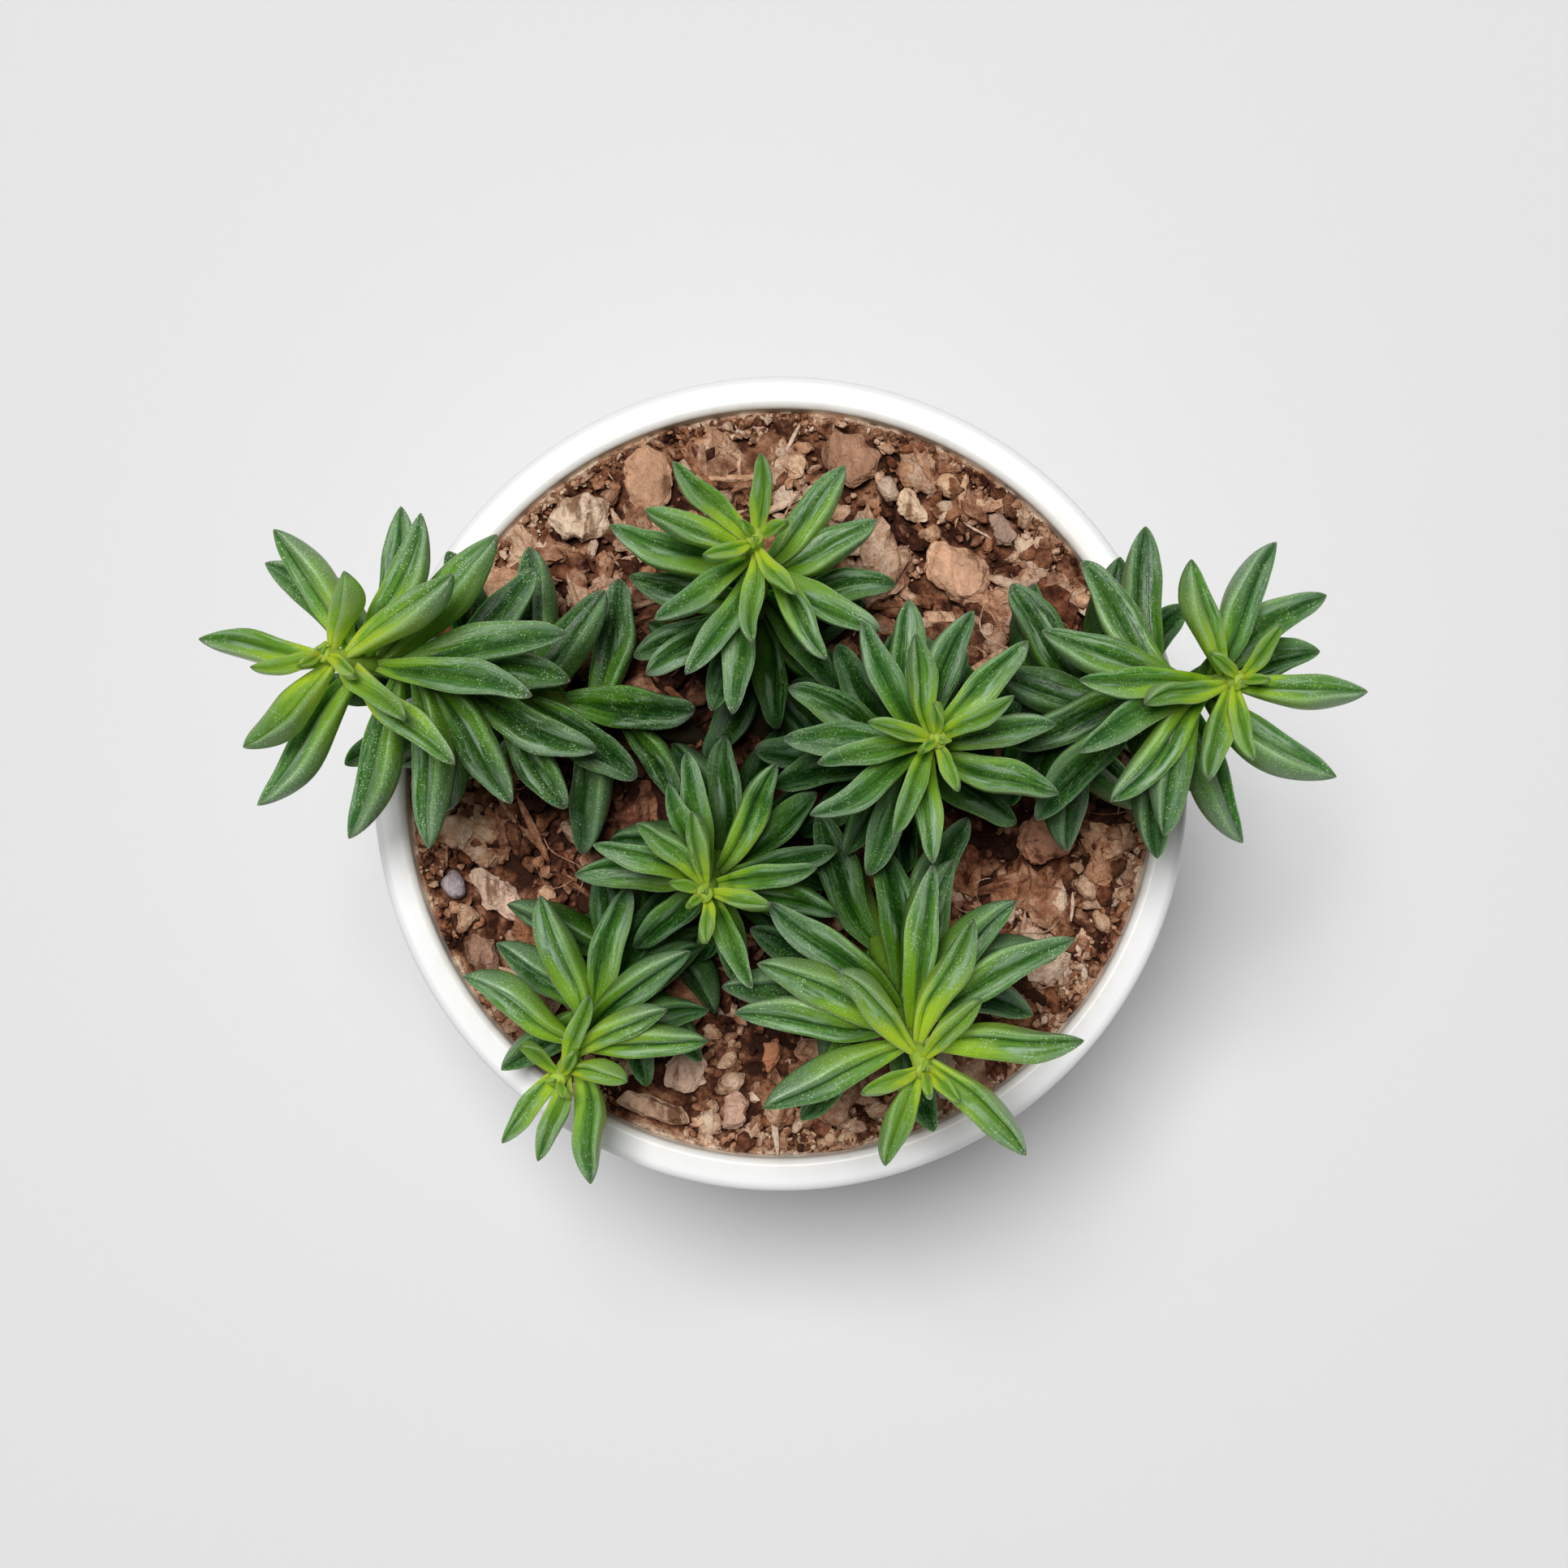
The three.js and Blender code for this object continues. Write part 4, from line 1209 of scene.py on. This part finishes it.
def soil_material(name, wet):
    material, tree, shader = new_material(name, Roughness=0.85, Specular_IOR_Level=0.25)
    coarse = noise_value(tree, place(tree), 480, 5, 0.65)
    fine = noise_value(tree, place(tree), 1800, 3, 0.6)
    tones = tree.nodes.new("ShaderNodeValToRGB")
    tree.links.new(plus(tree, stored(tree, "tone"), swing(tree, coarse, 1.35)), tones.inputs[0])
    band = tones.color_ramp.elements
    band[0].color = (*SOIL_TONES[0][1], 1)
    band[1].color = (*SOIL_TONES[-1][1], 1)
    for position, shade in SOIL_TONES[1:-1]:
        band.new(position).color = (*shade, 1)
    warm = blend(tree, stored(tree, "warm"), COOL_BARK, WARM_BARK)
    colour = blend(tree, 1.0, tones.outputs[0], warm, "MULTIPLY")
    colour = blend(tree, ramp(tree, fine, 0.46, 0.72, 0, wet), colour, DAMP_BROWN)
    tree.links.new(colour, shader.inputs["Base Color"])
    bump(tree, shader, plus(tree, coarse, times(tree, fine, 0.6)), 0.9, 0.0010)
    return material


points, faces, values = soil_body()
soil = make_object("soil_surface", points, faces, soil_material("soil_humus", 0.5), values)
dress(soil, "soil", "soil")
print("soil faces:", len(faces))

# %% [markdown]
# ## The forms of loose grains
#
# Real bark mix has four kinds of grain. A crumb is a small ball with its points pushed in and out. A chip is a ball
# cut by random planes, as a stone is cut, and then warped by noise, so that it has flat faces and worn corners. A
# sliver is a long thin chip, and a fibre is a bent thread. Each form is drawn anew for every grain. A shape gives
# how far a grain is drawn out: its length, and the least and most breadth and height, as shares of its size.

# %% Grain forms
LARGE_CHIP = 3.8
CRUMB_DENTS = (0.55, 1.15)
CRUMB_SHAPE = (1.1, (0.5, 1), (0.4, 0.8))
CHIP_CUTS = (7, 11)
CHIP_SHAPE = (1.1, (0.55, 0.95), (0.35, 0.65))
SLIVER_CUTS = 6
SLIVER_SHAPE = (1.2, (0.10, 0.22), (0.08, 0.16))
CRUMB_TILT, CHIP_TILT, SLIVER_TILT, FIBRE_TILT = 0.6, 0.5, 0.25, 0.05
CHIP_WARP = 0.45
CHIP_WARP_SCALE = 1.9
FIBRE_STEPS = 12
FIBRE_RADIUS = 0.09
FIBRE_SWING = 0.22


def ball(level):
    shape = bmesh.new()
    bmesh.ops.create_icosphere(shape, subdivisions=level, radius=1)
    shape.verts.ensure_lookup_table()
    spots = np.array([vertex.co for vertex in shape.verts])
    faces = [tuple(vertex.index for vertex in face.verts) for face in shape.faces]
    shape.free()
    return spots, faces


BALLS = {level: ball(level) for level in (1, 2, 3)}


def turn_matrix(rng, tilt):
    heading = Matrix.Rotation(rng.uniform(0, 2 * math.pi), 3, "Z")
    lean = Matrix.Rotation(rng.uniform(-tilt, tilt), 3, "X") @ Matrix.Rotation(rng.uniform(-tilt, tilt), 3, "Y")
    return np.array(lean @ heading)


def cut_stone(rng, level, cuts):
    spots, faces = BALLS[level]
    sides = np.array([[rng.gauss(0, 1) for _ in range(3)] for _ in range(cuts)])
    sides /= np.linalg.norm(sides, axis=1)[:, None]
    depths = np.array([rng.uniform(0.6, 1) for _ in range(cuts)])
    reach = np.min(depths / np.maximum(spots @ sides.T, 0.05), axis=1)
    rough = np.array([rng.uniform(0.96, 1.04) for _ in spots])
    return spots * (np.minimum(reach, 1.2) * rough)[:, None], faces


def drawn_out(rng, spots, size, long, breadths, heights):
    return spots * (size / 2) * np.array([long, rng.uniform(*breadths), rng.uniform(*heights)])


def crumb(rng, size):
    spots, faces = BALLS[1]
    spots = drawn_out(rng, spots * np.array([[rng.uniform(*CRUMB_DENTS)] for _ in spots]), size, *CRUMB_SHAPE)
    return spots @ turn_matrix(rng, CRUMB_TILT).T, faces


def chip(rng, size):
    spots, faces = cut_stone(rng, 3 if size > LARGE_CHIP else 2, rng.randint(*CHIP_CUTS))
    start = Vector((rng.uniform(0, 50), rng.uniform(0, 50), 0))
    warp = [[1 + CHIP_WARP * noise.noise(CHIP_WARP_SCALE * Vector(spot) + start)] for spot in spots]
    spots = drawn_out(rng, spots * np.array(warp), size, *CHIP_SHAPE)
    return spots @ turn_matrix(rng, CHIP_TILT).T, faces


def sliver(rng, size):
    spots, faces = cut_stone(rng, 2, SLIVER_CUTS)
    return drawn_out(rng, spots, size, *SLIVER_SHAPE) @ turn_matrix(rng, SLIVER_TILT).T, faces


def fibre(rng, size):
    bends = [rng.uniform(-1, 1) for _ in range(3)]
    ring = [(0, FIBRE_RADIUS * math.cos(turn * math.pi / 2), FIBRE_RADIUS * math.sin(turn * math.pi / 2))
            for turn in range(4)]
    spots = []
    for step in range(FIBRE_STEPS + 1):
        share = step / FIBRE_STEPS - 0.5
        swerve = FIBRE_SWING * size * (bends[0] * math.cos(3 * share) + bends[1] * math.sin(6 * share))
        centre = (share * size, swerve, 0.5 + 0.5 * bends[2] * math.sin(4 * share))
        spots += [np.add(centre, spot) for spot in ring]
    return np.array(spots) @ turn_matrix(rng, FIBRE_TILT).T, turned_over(closed_tube(FIBRE_STEPS + 1, 4))


print("points in a small and in a large chip:", len(BALLS[2][0]), len(BALLS[3][0]))

# %% [markdown]
# ## Scattering the grains
#
# Thousands of grains fall on the soil. The draw is seeded, so the same grains fall in the same places each time.
# Places taken by the stems and by the large chips stay free: the list below gives each large chip's place, its
# length and its colour. Each grain is partly sunk. Its tone has painted light towards the back and front, darker
# humus patches and painted shade where little sky reaches, and painted light and shade make its top lighter than its
# underside.
# Only the small chips are shaded smooth, as dust has rounded the real ones. The others keep their facets.

# %% Grains
LARGE_CHIPS = [
    ("bark_chip_pale", (-25.9, 34.3), 8.4, (0.880, 0.660, 0.480)),
    ("bark_chip_brown", (-17, 39.5), 10, (0.560, 0.315, 0.190)),
    ("bark_chip_back", (9, 42), 9.6, (0.400, 0.210, 0.125)),
    ("bark_flake", (16.7, 35.6), 5.4, (0.860, 0.620, 0.420)),
    ("bark_chip_grey", (28.6, 32.8), 4.6, (0.400, 0.260, 0.190)),
    ("bark_chip_orange", (22.6, 27), 10.4, (0.635, 0.365, 0.227)),
    ("pebble", (-42.3, -13.2), 4.8, (0.390, 0.320, 0.330)),
    ("bark_chip_long", (-36, -14.6), 9.6, (0.760, 0.520, 0.390)),
    ("bark_chip_ribbed", (-38.6, -22.4), 8.4, (0.360, 0.200, 0.130)),
    ("soil_clod", (33.8, -7.3), 9.2, (0.600, 0.280, 0.170)),
    ("wood_stick", (-16.2, -41.9), 11.8, (0.560, 0.350, 0.235)),
    ("bark_chip_square", (-12.4, -36.9), 7, (0.700, 0.470, 0.350)),
    ("bark_block", (-5.9, -42.1), 5.4, (0.580, 0.355, 0.258)),
    ("bark_sliver", (-1.2, -35), 4.8, (0.590, 0.240, 0.120)),
]
SMALL_SIZE_POWER = 1.5
WALL_ROOM = 0.42
STEM_ROOM = 0.3
CHIP_REACH, GRAIN_REACH = 0.38, 0.4
GRAIN_BED = 1.0
GRAIN_LIFTS = (0.1, 0.9)
GRAIN_TONE, TOP_LIGHT_TONE, GRAIN_SHADE = 0.06, 0.06, 0.66
TONE_SPREAD = 0.06
LARGE_LIGHT_AND_HUMUS = 0.4


def taken(x, y, size):
    on_chip = any(math.dist((x, y), at) < CHIP_REACH * long + GRAIN_REACH * size for _, at, long, _ in LARGE_CHIPS)
    near_stem = min(math.dist((x, y), shoot["foot"]) for shoot in SHOOTS)
    return on_chip or near_stem < STEM_FOOT_RADIUS + 0.5 * size + STEM_ROOM


def scatter(count, shape, sizes, tones, seed, sink, band=0):
    rng = random.Random(seed)
    edge = inner_radius(SOIL_TOP)
    points, faces, tone, warm, total = [], [], [], [], 0
    while count > 0:
        size = sizes[0] + (sizes[1] - sizes[0]) * rng.random() ** SMALL_SIZE_POWER
        away = (edge - WALL_ROOM * size) * math.sqrt(rng.uniform((band / edge) ** 2, 1))
        angle = rng.uniform(0, 2 * math.pi)
        x, y = away * math.cos(angle), away * math.sin(angle)
        spots, skin = shape(rng, size)
        shade = rng.uniform(*tones)
        if taken(x, y, size):
            continue
        count -= 1
        lift = soil_height(x, y) - GRAIN_BED + bank(edge - away) + (0.5 - sink) * size * 0.5
        lift += rng.uniform(*GRAIN_LIFTS)
        points.append(spots + np.array([x, y, lift]))
        faces += [tuple(total + index for index in face) for face in skin]
        # Painted light towards the back and front, darker humus patches, and painted shade under the leaves.
        light_humus = light_and_humus(x, y) * (LARGE_LIGHT_AND_HUMUS if size > LARGE_CHIP else 1)
        shade += GRAIN_TONE + light_humus - GRAIN_SHADE * painted_shade(x, y)
        tall = np.abs(spots[:, 2]).max()
        # Painted light and shade: a grain's top is lighter, its underside darker.
        tone += [shade + rng.uniform(-TONE_SPREAD, TONE_SPREAD) + TOP_LIGHT_TONE * spot[2] / tall for spot in spots]
        warm += [rng.random()] * len(spots)
        total += len(spots)
    return np.vstack(points), faces, dict(tone=tone, warm=warm)


soil_bark = soil_material("soil_bark", 0.3)
GRAINS = {
    "soil_crumbs_fine": dict(count=2900, shape=crumb, sizes=(0.5, 1.4), tones=(-0.02, 0.70), seed=21, sink=0.30),
    "soil_crumbs_edge": dict(count=1900, shape=crumb, sizes=(0.5, 1.7), tones=(0.05, 0.80), seed=25, sink=0.30,
                             band=45.5),
    "soil_crumbs_coarse": dict(count=1300, shape=crumb, sizes=(1.3, 2.8), tones=(0.04, 0.68), seed=22, sink=0.40),
    "soil_chips_small": dict(count=1600, shape=chip, sizes=(1.7, 3.8), tones=(0.02, 0.84), seed=23, sink=0.25),
    "soil_chips_large": dict(count=180, shape=chip, sizes=(3.8, 8.4), tones=(0.22, 0.80), seed=24, sink=0.42),
    "soil_slivers": dict(count=260, shape=sliver, sizes=(2.5, 8.0), tones=(0.15, 0.90), seed=26, sink=0.10),
    "soil_fibres": dict(count=60, shape=fibre, sizes=(4.0, 11.0), tones=(0.50, 0.95), seed=27, sink=0.00),
}
for name, grain in GRAINS.items():
    points, faces, values = scatter(**grain)
    piece = make_object(name, points, faces, soil_bark, values, smooth=name == "soil_chips_small")
    dress(piece, "soil")
    print(name, len(faces), "faces")

# %% [markdown]
# ## Material of the large chips
#
# Bark and wood have a grain: dark clefts, mid-brown plates and pale worn ridges. Two noises, drawn out along one
# axis for wood, are added and cut into those three bands round the chip's own colour. The same noise drives the
# bump, so a dark cleft is also a deep one.

# %% Chip material
CLEFT_SHARES = (0.324, 0.243, 0.189)
RIDGE_SHARE = 1.32
RIDGE_LIFT = 0.02
WOOD_STRETCH = 0.35


def chip_material(name, shade, stretch):
    material, tree, shader = new_material(name, Roughness=0.8, Specular_IOR_Level=0.3)
    broad = noise_value(tree, place(tree, (1, stretch, 1)), 260, 4, 0.6)
    coarse = noise_value(tree, place(tree, (1, stretch, 1)), 620, 5, 0.68)
    fine = noise_value(tree, place(tree), 1700, 3, 0.6)
    cleft = tuple(channel * share for channel, share in zip(shade, CLEFT_SHARES))
    ridge = tuple(min(1, RIDGE_SHARE * channel + RIDGE_LIFT) for channel in shade)
    mixed = plus(tree, times(tree, broad, 0.55), times(tree, coarse, 0.45))
    colour = blend(tree, ramp(tree, mixed, 0.40, 0.50), cleft, shade)
    colour = blend(tree, ramp(tree, mixed, 0.51, 0.61), colour, ridge)
    colour = blend(tree, ramp(tree, fine, 0.50, 0.78, 0, 0.5), colour, cleft)
    tree.links.new(colour, shader.inputs["Base Color"])
    bump(tree, shader, plus(tree, mixed, times(tree, fine, 0.4)), 0.9, 0.0009)
    return material


print("colour shares in a cleft:", CLEFT_SHARES)

# %% [markdown]
# ## The large chips
#
# Fourteen pieces are big enough to be solids of their own. Each one starts as a copy of its CAD mesh, which is
# subdivided and pushed in and out with noise, in steps for layered bark. The pebble and the clod are smoothed first,
# because water and handling have rounded the real ones, and the stick gets straight, blunt, broken-off ends. The
# CAD node itself stays as it is and is only hidden.

# %% Large chips
EDGE_CUTS = 5
SMOOTHING_ROUNDS = 8
STICK_LENGTH_SHARE = 0.94
END_TAPER, LEAST_END = 0.92, 0.12
PLAIN_DENT = 0.45
DENTS = dict(pebble=0.12, wood_stick=0.16, bark_block=0.3, bark_chip_square=0.35, soil_clod=0.6)
LAYERS = 2.5
LAYER_SCALE = 0.35
PUSH_SCALE, PUSH_SHARE = 0.45, 0.6
SHIFT_SCALE, SHIFT_SHARE = 0.5, 1.6


def blunt_ends(shape):
    spots = np.array([vertex.co for vertex in shape.verts])
    middle = (spots.min(axis=0) + spots.max(axis=0)) / 2
    away = spots - middle
    level = away[:, :2] - away[:, :2].mean(axis=0)
    run = np.append(np.linalg.eigh(level.T @ level)[1][:, 1], 0)
    along = away @ run
    share = along / np.abs(along).max()
    aside = away - np.outer(along, run)
    aside[:, :2] /= np.sqrt(np.maximum(1 - END_TAPER * share ** 2, LEAST_END))[:, None]
    for vertex, spot in zip(shape.verts, middle + STICK_LENGTH_SHARE * np.outer(along, run) + aside):
        vertex.co = spot


def worn(spot, normal, dent):
    push = PUSH_SHARE * noise.fractal(spot * PUSH_SCALE, 0.8, 2.0, 5)
    layer = round(LAYERS * noise.noise(spot * LAYER_SCALE + Vector((0, 0, 5)))) / LAYERS
    shift = Vector((noise.fractal(spot * SHIFT_SCALE + Vector((9, 0, 0)), 0.9, 2.0, 4),
                    noise.fractal(spot * SHIFT_SCALE + Vector((0, 9, 0)), 0.9, 2.0, 4), 0))
    return (normal * (push + layer) + shift * SHIFT_SHARE) * (dent * MM)


def fine_copy(name, dent, rounds):
    shape = bmesh.new()
    shape.from_mesh(frame["nodes"][name].data)
    bmesh.ops.remove_doubles(shape, verts=shape.verts, dist=1e-6)
    bmesh.ops.subdivide_edges(shape, edges=shape.edges, cuts=EDGE_CUTS, use_grid_fill=True)
    if name == "wood_stick":
        blunt_ends(shape)
    for _ in range(rounds):
        bmesh.ops.smooth_vert(shape, verts=shape.verts, factor=0.5, use_axis_x=True, use_axis_y=True, use_axis_z=True)
    shape.normal_update()
    for vertex in shape.verts:
        vertex.co += worn(vertex.co / MM, vertex.normal, dent)
    mesh = bpy.data.meshes.new(name + "_fine")
    shape.to_mesh(mesh)
    shape.free()
    mesh.polygons.foreach_set("use_smooth", [rounds > 0] * len(mesh.polygons))
    piece = bpy.data.objects.new(name + "_fine", mesh)
    bpy.context.collection.objects.link(piece)
    return piece


for name, _, _, shade in LARGE_CHIPS:
    woody = name not in ("pebble", "soil_clod")
    piece = fine_copy(name, DENTS.get(name, PLAIN_DENT), 0 if woody else SMOOTHING_ROUNDS)
    piece.data.materials.append(chip_material(name + "_skin", shade, WOOD_STRETCH if woody else 1))
    dress(piece, name, name)
print(len(LARGE_CHIPS), "large chips")

# %% [markdown]
# ## Floor, light and camera
#
# The plant stands on a plain pale floor. A broad lamp at the upper left throws one soft shadow to the lower
# right, and an even sky fills it. The camera looks straight down: its lens frames the rim as in the photo.

# %% Stage
FLOOR_REACH = 2000
FLOOR_GREY, FLOOR_GREY_DARK = (0.83, 0.83, 0.83), (0.80, 0.80, 0.80)
SKY_STRENGTH = 0.09
CAMERA_HEIGHT = 400
FRAME_WIDTH = 201.7
SENSOR = 36
VIEW_SHIFT = (0.42, -0.05)


def lamp(name, at, aim, size, power):
    light = bpy.data.lights.new(name, "AREA")
    light.shape = "DISK"
    light.size = size
    light.energy = power
    holder = bpy.data.objects.new(name, light)
    holder.location = at
    holder.rotation_euler = (Vector(aim) - Vector(at)).to_track_quat("-Z", "Y").to_euler()
    bpy.context.collection.objects.link(holder)


def floor_paint():
    material, tree, shader = new_material("floor_paint", Roughness=0.9, Specular_IOR_Level=0.1)
    mottle = noise_value(tree, place(tree), 3, 2)
    colour = blend(tree, ramp(tree, mottle, 0.3, 0.7, 0, 0.02), FLOOR_GREY, FLOOR_GREY_DARK)
    tree.links.new(colour, shader.inputs["Base Color"])
    return material


corners = [(FLOOR_REACH * x, FLOOR_REACH * y, 0) for x, y in ((-1, -1), (1, -1), (1, 1), (-1, 1))]
floor = make_object("floor", corners, [(0, 1, 2, 3)], floor_paint())

world = bpy.data.worlds.new("studio_sky")
world.use_nodes = True
world.node_tree.nodes["Background"].inputs["Color"].default_value = (1, 1, 1, 1)
world.node_tree.nodes["Background"].inputs["Strength"].default_value = SKY_STRENGTH
bpy.context.scene.world = world
lamp("key_lamp", at=(-0.352, 0.754, 3.912), aim=(0, 0, 0.06), size=1.3, power=139.0)

camera = bpy.data.cameras.new("camera")
camera.sensor_width = SENSOR
camera.lens = SENSOR * CAMERA_HEIGHT / FRAME_WIDTH
camera.clip_start = 0.01
viewer = bpy.data.objects.new("camera", camera)
viewer.location = (VIEW_SHIFT[0] * MM, VIEW_SHIFT[1] * MM, (POT_HEIGHT + CAMERA_HEIGHT) * MM)
bpy.context.collection.objects.link(viewer)
bpy.context.scene.camera = viewer
bpy.context.scene.view_settings.view_transform = "Standard"
print("lens", round(camera.lens, 1), "mm")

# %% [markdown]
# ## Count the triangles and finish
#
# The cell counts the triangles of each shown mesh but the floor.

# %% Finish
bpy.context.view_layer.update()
counts = {}
for piece in bpy.data.objects:
    if piece.type == "MESH" and not piece.hide_render and piece is not floor:
        piece.data.calc_loop_triangles()
        counts[piece.name] = len(piece.data.loop_triangles)
largest = max(counts, key=counts.get)
print("triangles:", sum(counts.values()), "in all,", counts[largest], "in", largest)
